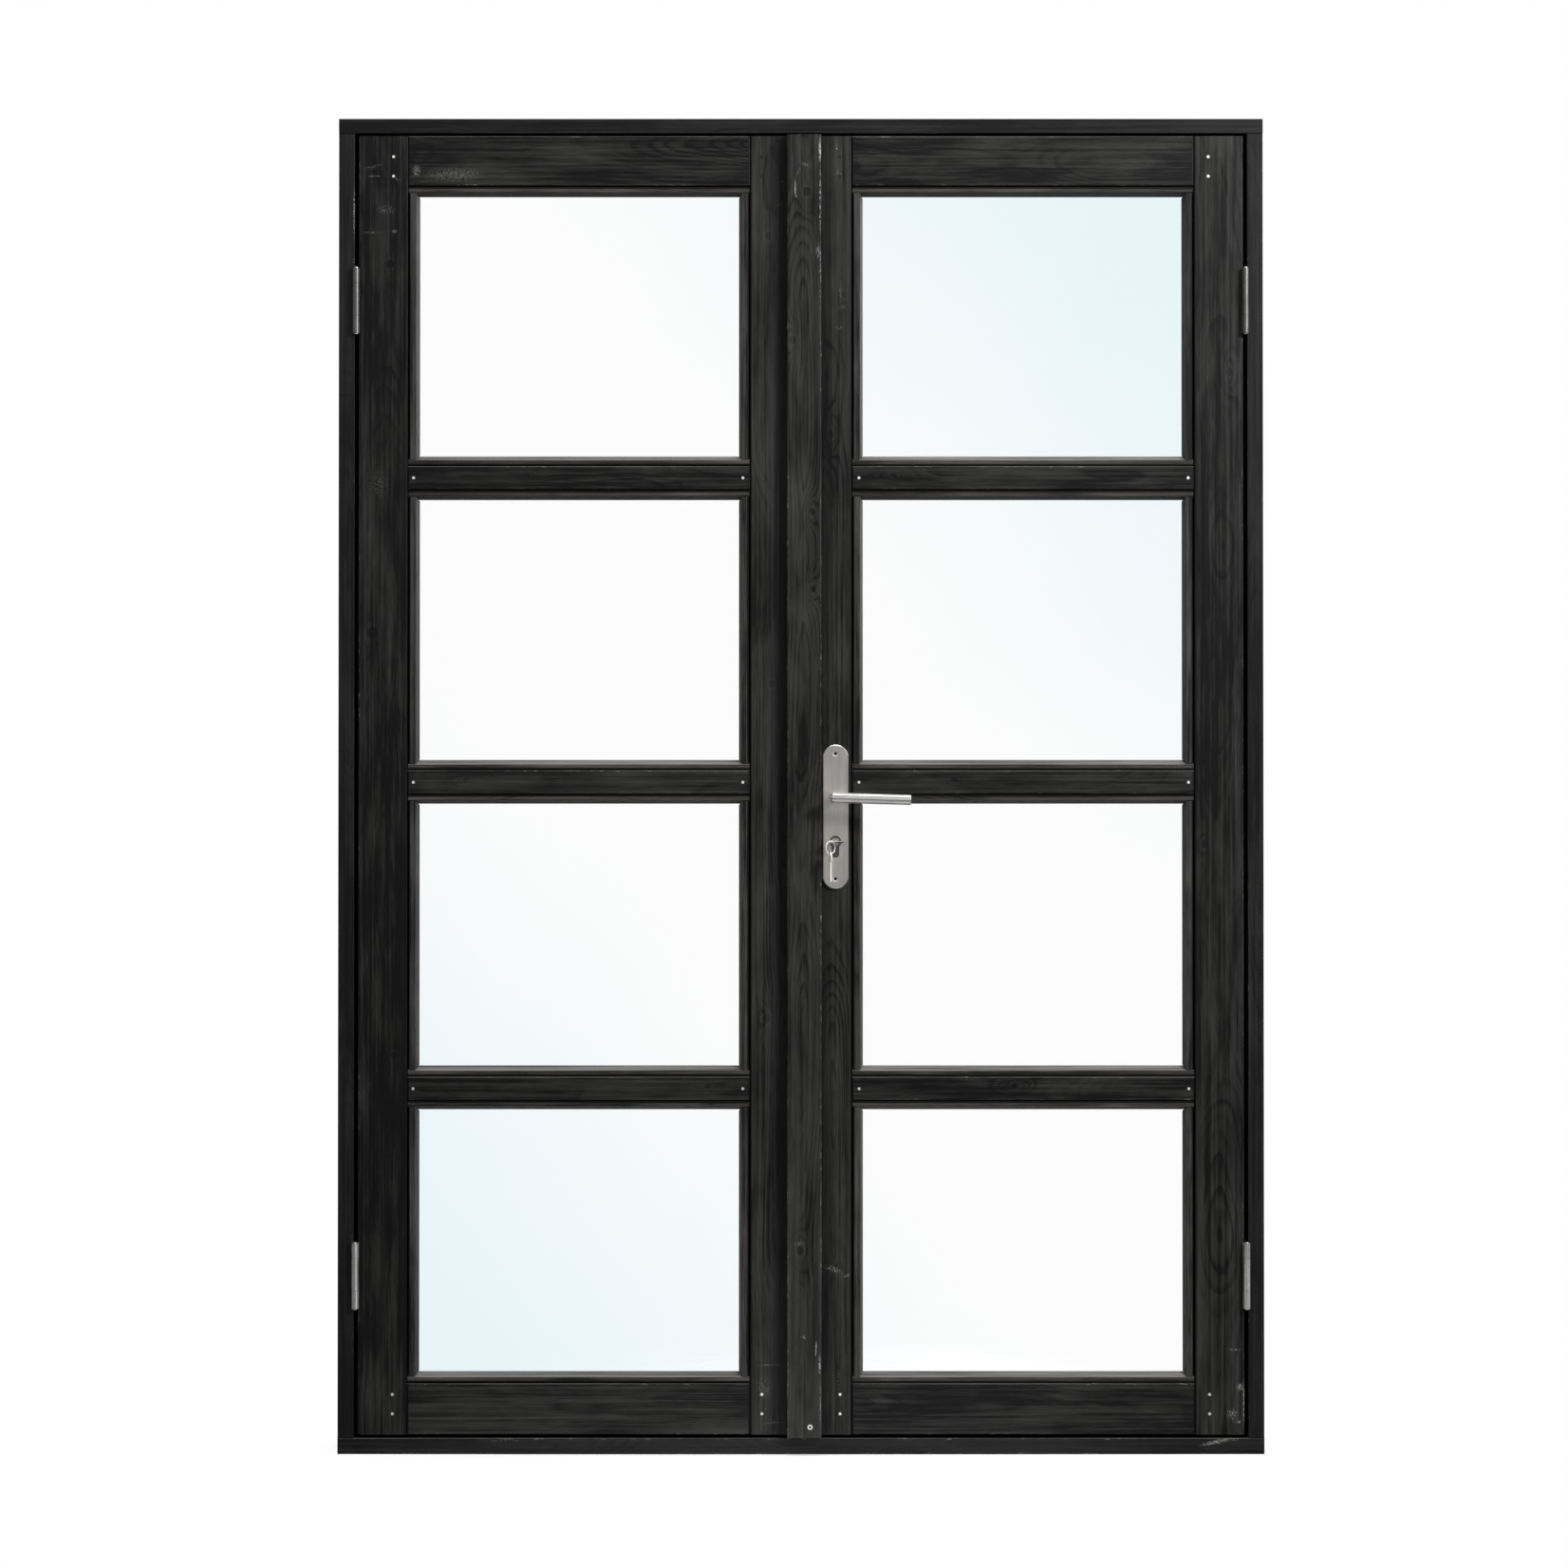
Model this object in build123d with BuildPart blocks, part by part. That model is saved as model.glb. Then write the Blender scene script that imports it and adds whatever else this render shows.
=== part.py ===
"""Pair of glazed timber french doors in their own frame.

Millimetres. X runs along the frame's width, Y from the front to the back,
Z up. The origin is the middle of the sill's underside, half way through the
frame's depth. The leaves open towards the front, -Y.
"""

import os
from math import cos, radians, sin, tan

from build123d import *

os.makedirs("parts", exist_ok=True)

# ---------------------------------------------------------------- sizes, mm
# frame
FRAME_W, FRAME_H, FRAME_D = 1490.0, 2150.0, 95.0
JAMB_FACE, HEAD_FACE, SILL_FACE = 26.0, 24.0, 26.0  # seen beside the leaves
STOP_RISE = 16.0  # how far the stops stand in past the rebate
FRONT, BACK = -FRAME_D / 2, FRAME_D / 2
STOP_Y = FRONT + 48.0  # front face of the stops

# leaves
LEAF_T = 45.0
LEAF_BACK = FRONT + LEAF_T
SIDE_GAP, HEAD_GAP, SILL_GAP, MEET_GAP = 5.5, 4.0, 5.5, 4.0
LEAF_OUT = FRAME_W / 2 - JAMB_FACE - SIDE_GAP  # outer edge, from the middle
LEAF_IN = MEET_GAP / 2  # meeting edge
LEAF_TOP = FRAME_H - HEAD_FACE - HEAD_GAP
LEAF_BOT = SILL_FACE + SILL_GAP
STILE_FACE, STILE_W = 80.0, 89.0
REBATE = STILE_W - STILE_FACE  # glazing rebate, width
REBATE_Y = FRONT + 20.0  # glazing rebate, floor
OPEN_IN, OPEN_OUT = LEAF_IN + STILE_FACE, LEAF_OUT - STILE_FACE
TOP_RAIL_Z, BOTTOM_RAIL_Z = 2041.3, 113.6  # edges beside the glass
MID_RAIL_FACE = 38.0
MID_RAILS = {"upper": 1570.2, "middle": 1079.8, "lower": 587.0}  # centre heights
TENON_L, TENON_Y0, TENON_Y1 = 35.0, FRONT + 5.5, FRONT + 18.5
ARRIS = 2.5

# glazing
GLASS_T = 4.0
GLASS_Y = REBATE_Y - GLASS_T
BEAD_Y = FRONT + 2.0  # front of the beads
BEAD_GAP_H, BEAD_GAP_V = 1.2, 2.0
BEAD_FACE, BEAD_FOOT = 9.6, 16.8  # beads across, from the rebate's side
BEAD_FACE_V, BEAD_FOOT_V = 13.2, 18.0  # upright beads

# cover strip over the meeting edges
STRIP_L, STRIP_R, STRIP_T, STRIP_BOT = -22.3, 32.9, 14.0, 29.0
STRIP_FRONT = FRONT - STRIP_T

# hinges
HINGE_X = LEAF_OUT + SIDE_GAP / 2
HINGE_Y = FRONT - 5.8
KNUCKLE_R, PIN_R, PLATE_T, PLATE_D = 5.25, 2.5, 2.5, 30.0
HINGE_TOP_KNUCKLE, HINGE_MID_KNUCKLE, HINGE_LOW_KNUCKLE = 23.0, 52.5, 28.5
HINGE_L = HINGE_TOP_KNUCKLE + HINGE_MID_KNUCKLE + HINGE_LOW_KNUCKLE + 0.8
HINGES = {"upper": 1855.4, "lower": 287.2}  # centre heights

# lock and handles
SPINDLE_X, SPINDLE_Z = 55.5, 1055.7
CYL_Z = 984.4
LEAF_MID_Y = FRONT + LEAF_T / 2
KEEP_HALF = 20.0  # keeps of the flush bolts, half their depth
KEEP_SCREW = 14.5
PLATE_W, PLATE_Z0, PLATE_Z1, HPLATE_T = 41.5, 908.8, 1140.2, 6.0
PLATE_ARC = 16.5
SCREW_Z = (1125.3, 924.0)
NECK_R, BOSS_R, BAR_R = 6.0, 8.5, 8.2
BAR_Y = 50.0  # lever's axis in front of the leaf's face
BAR_X0, BAR_X1, BAR_DROP = 46.9, 175.1, 1.7
CASE_X1, CASE_Z0, CASE_Z1, CASE_T, CASE_WALL = 80.0, 941.0, 1106.0, 15.0, 1.2
FOREND_T, FOREND_W, FOREND_Z0, FOREND_Z1 = 3.0, 20.0, 905.0, 1140.0
LATCH_Z0, LATCH_Z1, LATCH_THROW = 1068.0, 1096.0, 11.0
DEAD_Z0, DEAD_Z1, DEAD_THROW = 1003.0, 1035.0, 20.0
BOLT_T = 12.0
EURO_R, EURO_R2, EURO_DROP = 8.5, 5.0, 19.9  # round, foot, height between them
PLUG_R = 6.5

# flush bolts of the left leaf
FLUSH_X, FLUSH_R, FLUSH_THROW, FLUSH_L = -12.0, 5.0, 15.0, 172.0

# key in the lock, split ring and second key
BOW_R, BOW_T, BOW_Y = 12.5, 2.2, -75.0
BOW_HOLE_R, BOW_HOLE_OFF = 4.5, 6.7
RING_R, RING_WIRE, RING_DROP = 10.4, 0.7, 8.4
RING_TURN = 45.0  # the ring hangs turned this far from facing the front

SIDES = {"left": -1, "right": 1}


# ------------------------------------------------------------------ helpers
def block(x0, x1, y0, y1, z0, z1, mode=Mode.ADD):
    """A box between two corners, in whatever order they come."""
    with Locations(((x0 + x1) / 2, (y0 + y1) / 2, (z0 + z1) / 2)):
        Box(abs(x1 - x0), abs(y1 - y0), abs(z1 - z0), mode=mode)


def rod(start, direction, radius, length, mode=Mode.ADD):
    """A round bar from start along direction."""
    with Locations(Plane(origin=start, z_dir=direction).location):
        Cylinder(
            radius, length, align=(Align.CENTER, Align.CENTER, Align.MIN), mode=mode
        )


def countersunk(start, direction, head_r, radius, length, grow=0.0, mode=Mode.ADD):
    """A countersunk screw, its flat head face at start, or the hole for it."""
    head = head_r - radius
    with Locations(Plane(origin=start, z_dir=direction).location):
        Cone(
            head_r + grow,
            radius + grow,
            head,
            align=(Align.CENTER, Align.CENTER, Align.MIN),
            mode=mode,
        )
        Cylinder(
            radius + grow,
            length + grow * 4,
            align=(Align.CENTER, Align.CENTER, Align.MIN),
            mode=mode,
        )


def nail(x, z, grow=0.0, mode=Mode.ADD):
    """A wire nail driven from the front, with its flat head on the face."""
    rod((x, FRONT, z), (0, 1, 0), 1.0 + grow, 36.0 + grow * 4, mode=mode)
    if mode == Mode.ADD:
        rod((x, FRONT - 0.7, z), (0, 1, 0), 2.3, 0.7)


def euro_sketch(grow=0.0):
    """The lock cylinder's section: a round with a narrower foot below it."""
    with Locations((SPINDLE_X, CYL_Z)):
        Circle(EURO_R + grow)
    with Locations((SPINDLE_X, CYL_Z - EURO_DROP / 2)):
        Rectangle((EURO_R2 + grow) * 2, EURO_DROP)
    with Locations((SPINDLE_X, CYL_Z - EURO_DROP)):
        Circle(EURO_R2 + grow)


def plane_xz(y):
    """A sketch plane facing the back whose x is X and whose y is Z, at depth y."""
    return Plane(origin=(0, y, 0), x_dir=(1, 0, 0), z_dir=(0, -1, 0))


# positions shared by a part and what it fits
NAIL_X_OUT, NAIL_X_IN = 656.8, 62.8
PAIR_Z = (2088.5, 2057.0, 96.1, 65.0)
MID_NAIL_X = (93.5, 624.0)
HINGE_SCREW_Z = (-42.0, -14.0, 14.0, 42.0)
HINGE_SCREW_Y = FRONT + 20.0
CORNER_SCREWS = [(728.0, -24.0), (724.0, 24.0)]
FIXING_Z = (200.0, 783.0, 1367.0, 1950.0)
FIXING_Y = 24.0
FLUSH = {
    "top": (LEAF_TOP - FLUSH_L, LEAF_TOP, 1),
    "bottom": (LEAF_BOT, LEAF_BOT + FLUSH_L, -1),
}
STRIP_SCREW_X = 14.6
STRIP_FRONT_SCREW_Z = 46.5
STRIP_BACK_SCREW_Z = (420.0, 830.0, 1240.0, 1650.0, 2060.0)

# ------------------------------------------------------------------- frame
half = FRAME_W / 2
stop_x = half - JAMB_FACE - STOP_RISE

with BuildPart() as frame_head:
    block(-half, half, FRONT, BACK, FRAME_H - HEAD_FACE, FRAME_H)
    fillet(frame_head.edges().filter_by(Axis.X).group_by(Axis.Y)[0], 1.5)
    block(
        -stop_x,
        stop_x,
        STOP_Y,
        BACK,
        FRAME_H - HEAD_FACE - STOP_RISE - 2,
        FRAME_H - HEAD_FACE,
    )
    for x, y in CORNER_SCREWS:
        for side in (-1, 1):
            countersunk(
                (side * x, y, FRAME_H),
                (0, 0, -1),
                6.0,
                3.0,
                90,
                0.05,
                Mode.SUBTRACT,
            )
    # keep of the top flush bolt, and the hole it covers
    keep_z = FRAME_H - HEAD_FACE
    block(
        FLUSH_X - 10,
        FLUSH_X + 10,
        LEAF_MID_Y - KEEP_HALF,
        LEAF_MID_Y + KEEP_HALF,
        keep_z,
        keep_z + 2.5,
        Mode.SUBTRACT,
    )
    rod((FLUSH_X, LEAF_MID_Y, keep_z), (0, 0, 1), 6.5, 18.0, Mode.SUBTRACT)
    for dy in (-KEEP_SCREW, KEEP_SCREW):
        countersunk(
            (FLUSH_X, LEAF_MID_Y + dy, keep_z + 0.0),
            (0, 0, 1),
            3.4,
            1.7,
            17,
            0.05,
            Mode.SUBTRACT,
        )
frame_head.part.label = "frame_head"
export_step(frame_head.part, "parts/frame_head.step")

with BuildPart() as frame_sill:
    block(-half, half, FRONT, BACK, 0, SILL_FACE)
    fillet(frame_sill.edges().filter_by(Axis.X).group_by(Axis.Y)[0], 1.5)
    block(-stop_x, stop_x, STOP_Y, BACK, SILL_FACE, SILL_FACE + STOP_RISE)
    for x, y in CORNER_SCREWS:
        for side in (-1, 1):
            countersunk(
                (side * x, y, 0), (0, 0, 1), 6.0, 3.0, 90, 0.05, Mode.SUBTRACT
            )
    block(
        FLUSH_X - 10,
        FLUSH_X + 10,
        LEAF_MID_Y - KEEP_HALF,
        LEAF_MID_Y + KEEP_HALF,
        SILL_FACE - 2.5,
        SILL_FACE,
        Mode.SUBTRACT,
    )
    rod((FLUSH_X, LEAF_MID_Y, SILL_FACE), (0, 0, -1), 6.5, 18.0, Mode.SUBTRACT)
    for dy in (-KEEP_SCREW, KEEP_SCREW):
        countersunk(
            (FLUSH_X, LEAF_MID_Y + dy, SILL_FACE),
            (0, 0, -1),
            3.4,
            1.7,
            17,
            0.05,
            Mode.SUBTRACT,
        )
frame_sill.part.label = "frame_sill"
export_step(frame_sill.part, "parts/frame_sill.step")

for name, s in SIDES.items():
    with BuildPart() as jamb:
        block(s * (half - JAMB_FACE), s * half, FRONT, BACK, SILL_FACE, keep_z)
        fillet(jamb.edges().filter_by(Axis.Z).group_by(Axis.Y)[0], 1.5)
        block(s * stop_x, s * (half - JAMB_FACE), STOP_Y, BACK, SILL_FACE, keep_z)
        for x, y in CORNER_SCREWS:
            countersunk(
                (s * x, y, FRAME_H), (0, 0, -1), 6.0, 3.0, 90, 0.05, Mode.SUBTRACT
            )
            countersunk((s * x, y, 0), (0, 0, 1), 6.0, 3.0, 90, 0.05, Mode.SUBTRACT)
        # holes for the screws that fix the frame in its wall
        for z in FIXING_Z:
            countersunk(
                (s * stop_x, FIXING_Y, z), (s, 0, 0), 6.75, 3.25, 60, 0, Mode.SUBTRACT
            )
        for z in HINGES.values():
            block(
                s * (half - JAMB_FACE),
                s * (half - JAMB_FACE + PLATE_T),
                FRONT,
                FRONT + PLATE_D,
                z - HINGE_L / 2,
                z + HINGE_L / 2,
                Mode.SUBTRACT,
            )
            for dz in HINGE_SCREW_Z:
                countersunk(
                    (s * (half - JAMB_FACE), HINGE_SCREW_Y, z + dz),
                    (s, 0, 0),
                    3.9,
                    1.9,
                    22,
                    0.05,
                    Mode.SUBTRACT,
                )
    jamb.part.label = f"jamb_{name}"
    export_step(jamb.part, f"parts/jamb_{name}.step")

with BuildPart() as corner_screws:
    for x, y in CORNER_SCREWS:
        for side in (-1, 1):
            countersunk((side * x, y, FRAME_H), (0, 0, -1), 6.0, 3.0, 90)
            countersunk((side * x, y, 0), (0, 0, 1), 6.0, 3.0, 90)
corner_screws.part.label = "frame_corner_screws"
export_step(corner_screws.part, "parts/frame_corner_screws.step")

with BuildPart() as weather_seal:
    seal_y0 = LEAF_BACK + 0.3
    seal_top, seal_bot = keep_z - 17.0, SILL_FACE + 15.0
    for s in SIDES.values():
        block(
            s * (stop_x + 1),
            s * (stop_x + 9),
            seal_y0,
            STOP_Y,
            seal_bot,
            seal_top - 0.3,
        )
    block(-stop_x - 9, stop_x + 9, seal_y0, STOP_Y, seal_top, seal_top + 8)
    block(-stop_x + 1, stop_x - 1, seal_y0, STOP_Y, seal_bot - 8, seal_bot)
weather_seal.part.label = "weather_seal"
export_step(weather_seal.part, "parts/weather_seal.step")

with BuildPart() as keeps:
    for z, up in ((keep_z, 1), (SILL_FACE, -1)):
        block(
            FLUSH_X - 10,
            FLUSH_X + 10,
            LEAF_MID_Y - KEEP_HALF,
            LEAF_MID_Y + KEEP_HALF,
            z,
            z + up * 2.5,
        )
        rod((FLUSH_X, LEAF_MID_Y, z), (0, 0, up), 5.6, 2.5, Mode.SUBTRACT)
        for dy in (-KEEP_SCREW, KEEP_SCREW):
            countersunk(
                (FLUSH_X, LEAF_MID_Y + dy, z),
                (0, 0, up),
                3.4,
                1.7,
                17,
                0.05,
                Mode.SUBTRACT,
            )
keeps.part.label = "flush_bolt_keeps"
export_step(keeps.part, "parts/flush_bolt_keeps.step")

# ------------------------------------------------------------------- hinges
# knuckles from the top: frame, door, frame, with 0.4 mm between them
for name, s in SIDES.items():
    with BuildPart() as frame_leaves:
        for z in HINGES.values():
            top = z + HINGE_L / 2
            door_top = top - HINGE_TOP_KNUCKLE
            door_bot = door_top - 0.8 - HINGE_MID_KNUCKLE
            block(
                s * (half - JAMB_FACE),
                s * (half - JAMB_FACE + PLATE_T),
                HINGE_Y,
                FRONT + PLATE_D,
                top - HINGE_L,
                top,
            )
            rod((s * HINGE_X, HINGE_Y, top - HINGE_L), (0, 0, 1), KNUCKLE_R, HINGE_L)
            block(
                s * (HINGE_X - 6),
                s * (HINGE_X + 6),
                HINGE_Y - 6,
                FRONT,
                door_bot,
                door_top,
                Mode.SUBTRACT,
            )
            rod(
                (s * HINGE_X, HINGE_Y, top - HINGE_L),
                (0, 0, 1),
                PIN_R + 0.01,
                HINGE_L,
                Mode.SUBTRACT,
            )
            for dz in HINGE_SCREW_Z:
                countersunk(
                    (s * (half - JAMB_FACE), HINGE_SCREW_Y, z + dz),
                    (s, 0, 0),
                    3.9,
                    1.9,
                    22,
                    0.05,
                    Mode.SUBTRACT,
                )
    frame_leaves.part.label = f"hinge_leaves_frame_{name}"
    export_step(frame_leaves.part, f"parts/hinge_leaves_frame_{name}.step")

    with BuildPart() as door_leaves:
        for z in HINGES.values():
            top = z + HINGE_L / 2
            door_top = top - HINGE_TOP_KNUCKLE - 0.4
            door_bot = door_top - HINGE_MID_KNUCKLE
            block(
                s * (LEAF_OUT - PLATE_T),
                s * LEAF_OUT,
                FRONT,
                FRONT + PLATE_D,
                top - HINGE_L,
                top,
            )
            block(
                s * (LEAF_OUT - PLATE_T),
                s * LEAF_OUT,
                HINGE_Y,
                FRONT + 1,
                door_bot,
                door_top,
            )
            rod(
                (s * HINGE_X, HINGE_Y, door_bot),
                (0, 0, 1),
                KNUCKLE_R,
                HINGE_MID_KNUCKLE,
            )
            rod(
                (s * HINGE_X, HINGE_Y, door_bot),
                (0, 0, 1),
                PIN_R + 0.05,
                HINGE_MID_KNUCKLE,
                Mode.SUBTRACT,
            )
            for dz in HINGE_SCREW_Z:
                countersunk(
                    (s * LEAF_OUT, HINGE_SCREW_Y, z + dz),
                    (-s, 0, 0),
                    3.9,
                    1.9,
                    30,
                    0.05,
                    Mode.SUBTRACT,
                )
    door_leaves.part.label = f"hinge_leaves_door_{name}"
    export_step(door_leaves.part, f"parts/hinge_leaves_door_{name}.step")

with BuildPart() as hinge_pins:
    for s in SIDES.values():
        for z in HINGES.values():
            low = (s * HINGE_X, HINGE_Y, z - HINGE_L / 2)
            rod(low, (0, 0, 1), PIN_R, HINGE_L)
            with Locations((s * HINGE_X, HINGE_Y, z + HINGE_L / 2 + 0.9)):
                Cylinder(3.6, 1.8)
            with Locations((s * HINGE_X, HINGE_Y, z - HINGE_L / 2 - 0.9)):
                Cylinder(3.6, 1.8)
    fillet(
        hinge_pins.edges()
        .filter_by(GeomType.CIRCLE)
        .filter_by(lambda e: abs(e.radius - 3.6) < 0.01),
        0.8,
    )
hinge_pins.part.label = "hinge_pins"
export_step(hinge_pins.part, "parts/hinge_pins.step")

with BuildPart() as frame_screws:
    for s in SIDES.values():
        for z in HINGES.values():
            for dz in HINGE_SCREW_Z:
                countersunk(
                    (s * (half - JAMB_FACE), HINGE_SCREW_Y, z + dz),
                    (s, 0, 0),
                    3.9,
                    1.9,
                    22,
                )
    for z, up in ((keep_z, 1), (SILL_FACE, -1)):
        for dy in (-KEEP_SCREW, KEEP_SCREW):
            countersunk((FLUSH_X, LEAF_MID_Y + dy, z), (0, 0, up), 3.4, 1.7, 17)
frame_screws.part.label = "frame_hardware_screws"
export_step(frame_screws.part, "parts/frame_hardware_screws.step")


# ------------------------------------------------------------------- leaves
def leaf_screw_holes(s, mode=Mode.SUBTRACT):
    """Hinge screws in the stile beside the frame."""
    grow = 0.05 if mode == Mode.SUBTRACT else 0.0
    for z in HINGES.values():
        for dz in HINGE_SCREW_Z:
            countersunk(
                (s * LEAF_OUT, HINGE_SCREW_Y, z + dz),
                (-s, 0, 0),
                3.9,
                1.9,
                30,
                grow,
                mode,
            )


def nails(s, grow=0.0, mode=Mode.ADD):
    """Nails that pin the tenons and the ends of the glazing rails."""
    for z in PAIR_Z:
        nail(s * NAIL_X_OUT, z, grow, mode)
        nail(s * NAIL_X_IN, z, grow, mode)
    for z in MID_RAILS.values():
        for x in MID_NAIL_X:
            nail(s * x, z, grow, mode)


def flush_bolt_holes(z0, z1, up):
    """Recess, channel and guide hole for one flush bolt, in the left leaf."""
    tip, foot = (z1, z0) if up > 0 else (z0, z1)
    block(-LEAF_IN, -LEAF_IN - 3, LEAF_MID_Y - 10, LEAF_MID_Y + 10, z0, z1, Mode.SUBTRACT)
    block(
        -LEAF_IN - 3,
        FLUSH_X - 6,
        LEAF_MID_Y - 6,
        LEAF_MID_Y + 6,
        foot + up * 6,
        tip - up * 22,
        Mode.SUBTRACT,
    )
    rod((FLUSH_X, LEAF_MID_Y, tip), (0, 0, -up), FLUSH_R + 0.05, 23, Mode.SUBTRACT)
    for z in (foot + up * 3.6, tip - up * 10):
        countersunk(
            (-LEAF_IN, LEAF_MID_Y + (6.5 if z == tip - up * 10 else 0), z),
            (-1, 0, 0),
            3.0,
            1.5,
            20,
            0.05,
            Mode.SUBTRACT,
        )


def strike_holes(mode=Mode.SUBTRACT):
    """Recess and pockets for the strike plate, in the left leaf."""
    block(-LEAF_IN, -LEAF_IN - 2.5, LEAF_MID_Y - 10, LEAF_MID_Y + 10, 930, 1130, mode)
    block(-LEAF_IN, -22, LEAF_MID_Y - 7, LEAF_MID_Y + 7, LATCH_Z0 - 1, LATCH_Z1 + 1, mode)
    block(-LEAF_IN, -26, LEAF_MID_Y - 7, LEAF_MID_Y + 7, DEAD_Z0 - 1, DEAD_Z1 + 1, mode)
    for z in (940, 1120):
        countersunk((-LEAF_IN, LEAF_MID_Y, z), (-1, 0, 0), 4.0, 2.0, 30, 0.05, mode)


def strip_screws(grow=0.0, mode=Mode.ADD):
    """Screws of the cover strip: the lowest from the front, the rest from behind."""
    countersunk(
        (STRIP_SCREW_X, STRIP_FRONT, STRIP_FRONT_SCREW_Z),
        (0, 1, 0),
        4.2,
        2.1,
        45,
        grow,
        mode,
    )
    for z in STRIP_BACK_SCREW_Z:
        countersunk(
            (STRIP_SCREW_X, LEAF_BACK, z), (0, -1, 0), 4.2, 2.1, 55, grow, mode
        )


def lock_screws(grow=0.0, mode=Mode.ADD):
    """Forend screws and the long screw that holds the cylinder."""
    for z in (FOREND_Z0 + 9, FOREND_Z1 - 9):
        countersunk((LEAF_IN, LEAF_MID_Y, z), (1, 0, 0), 4.0, 2.0, 30, grow, mode)
    countersunk(
        (LEAF_IN, LEAF_MID_Y, CYL_Z - EURO_DROP - 0.4),
        (1, 0, 0),
        4.2,
        2.2,
        56,
        grow,
        mode,
    )


def plate_screws(grow=0.0, mode=Mode.ADD):
    """Screws that clamp the two handle plates through the stile."""
    for z in SCREW_Z:
        countersunk(
            (SPINDLE_X, FRONT - HPLATE_T + 1.2, z),
            (0, 1, 0),
            4.3,
            2.3,
            LEAF_T + 2 * HPLATE_T - 4,
            grow,
            mode,
        )


for name, s in SIDES.items():
    with BuildPart() as hinge_stile:
        block(s * OPEN_OUT, s * LEAF_OUT, FRONT, LEAF_BACK, LEAF_BOT, LEAF_TOP)
        fillet(hinge_stile.edges().filter_by(Axis.Z).group_by(Axis.Y)[0], ARRIS)
        block(
            s * (OPEN_OUT - REBATE), s * OPEN_OUT, REBATE_Y, LEAF_BACK, LEAF_BOT, LEAF_TOP
        )
        for z0, z1 in ((2050, 2112), (45, 104)):
            block(
                s * OPEN_OUT,
                s * (OPEN_OUT + TENON_L),
                TENON_Y0,
                TENON_Y1,
                z0,
                z1,
                Mode.SUBTRACT,
            )
        for z in HINGES.values():
            block(
                s * (LEAF_OUT - PLATE_T),
                s * LEAF_OUT,
                FRONT,
                FRONT + PLATE_D,
                z - HINGE_L / 2,
                z + HINGE_L / 2,
                Mode.SUBTRACT,
            )
        leaf_screw_holes(s)
        nails(s, 0.03, Mode.SUBTRACT)
    hinge_stile.part.label = f"{name}_hinge_stile"
    export_step(hinge_stile.part, f"parts/{name}_hinge_stile.step")

    with BuildPart() as meeting_stile:
        block(s * LEAF_IN, s * OPEN_IN, FRONT, LEAF_BACK, LEAF_BOT, LEAF_TOP)
        fillet(meeting_stile.edges().filter_by(Axis.Z).group_by(Axis.Y)[0], ARRIS)
        block(
            s * OPEN_IN, s * (OPEN_IN + REBATE), REBATE_Y, LEAF_BACK, LEAF_BOT, LEAF_TOP
        )
        for z0, z1 in ((2050, 2112), (45, 104)):
            block(
                s * OPEN_IN,
                s * (OPEN_IN - TENON_L),
                TENON_Y0,
                TENON_Y1,
                z0,
                z1,
                Mode.SUBTRACT,
            )
        nails(s, 0.03, Mode.SUBTRACT)
        if s < 0:
            strike_holes()
            for z0, z1, up in FLUSH.values():
                flush_bolt_holes(z0, z1, up)
        else:
            # pocket for the lock, and the holes across the stile
            block(
                LEAF_IN,
                LEAF_IN + FOREND_T,
                LEAF_MID_Y - FOREND_W / 2,
                LEAF_MID_Y + FOREND_W / 2,
                FOREND_Z0,
                FOREND_Z1,
                Mode.SUBTRACT,
            )
            block(
                LEAF_IN,
                CASE_X1 + 0.5,
                LEAF_MID_Y - CASE_T / 2 - 0.5,
                LEAF_MID_Y + CASE_T / 2 + 0.5,
                CASE_Z0 - 0.5,
                CASE_Z1 + 0.5,
                Mode.SUBTRACT,
            )
            rod((SPINDLE_X, FRONT, SPINDLE_Z), (0, 1, 0), 10.5, LEAF_T, Mode.SUBTRACT)
            with BuildSketch(plane_xz(FRONT)):
                euro_sketch(0.6)
            extrude(amount=-LEAF_T, mode=Mode.SUBTRACT)
            for z in SCREW_Z:
                rod((SPINDLE_X, FRONT, z), (0, 1, 0), 3.2, LEAF_T, Mode.SUBTRACT)
            lock_screws(0.05, Mode.SUBTRACT)
            strip_screws(0.05, Mode.SUBTRACT)
    meeting_stile.part.label = f"{name}_meeting_stile"
    export_step(meeting_stile.part, f"parts/{name}_meeting_stile.step")

    # top and bottom rails, with a tenon at each end
    for where, z_glass, z_edge, t0, t1 in (
        ("top", TOP_RAIL_Z, LEAF_TOP, 2050, 2112),
        ("bottom", BOTTOM_RAIL_Z, LEAF_BOT, 45, 104),
    ):
        out = 1 if z_edge > z_glass else -1
        with BuildPart() as rail:
            block(s * OPEN_IN, s * OPEN_OUT, FRONT, REBATE_Y, z_glass, z_edge)
            fillet(rail.edges().group_by(Axis.Y)[0], ARRIS - 0.5)
            block(
                s * (OPEN_IN + REBATE),
                s * (OPEN_OUT - REBATE),
                REBATE_Y,
                LEAF_BACK,
                z_glass - out * REBATE,
                z_edge,
            )
            block(
                s * (OPEN_IN - TENON_L + 0.3),
                s * (OPEN_OUT + TENON_L - 0.3),
                TENON_Y0,
                TENON_Y1,
                t0,
                t1,
            )
            nails(s, 0.03, Mode.SUBTRACT)
        rail.part.label = f"{name}_{where}_rail"
        export_step(rail.part, f"parts/{name}_{where}_rail.step")

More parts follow.
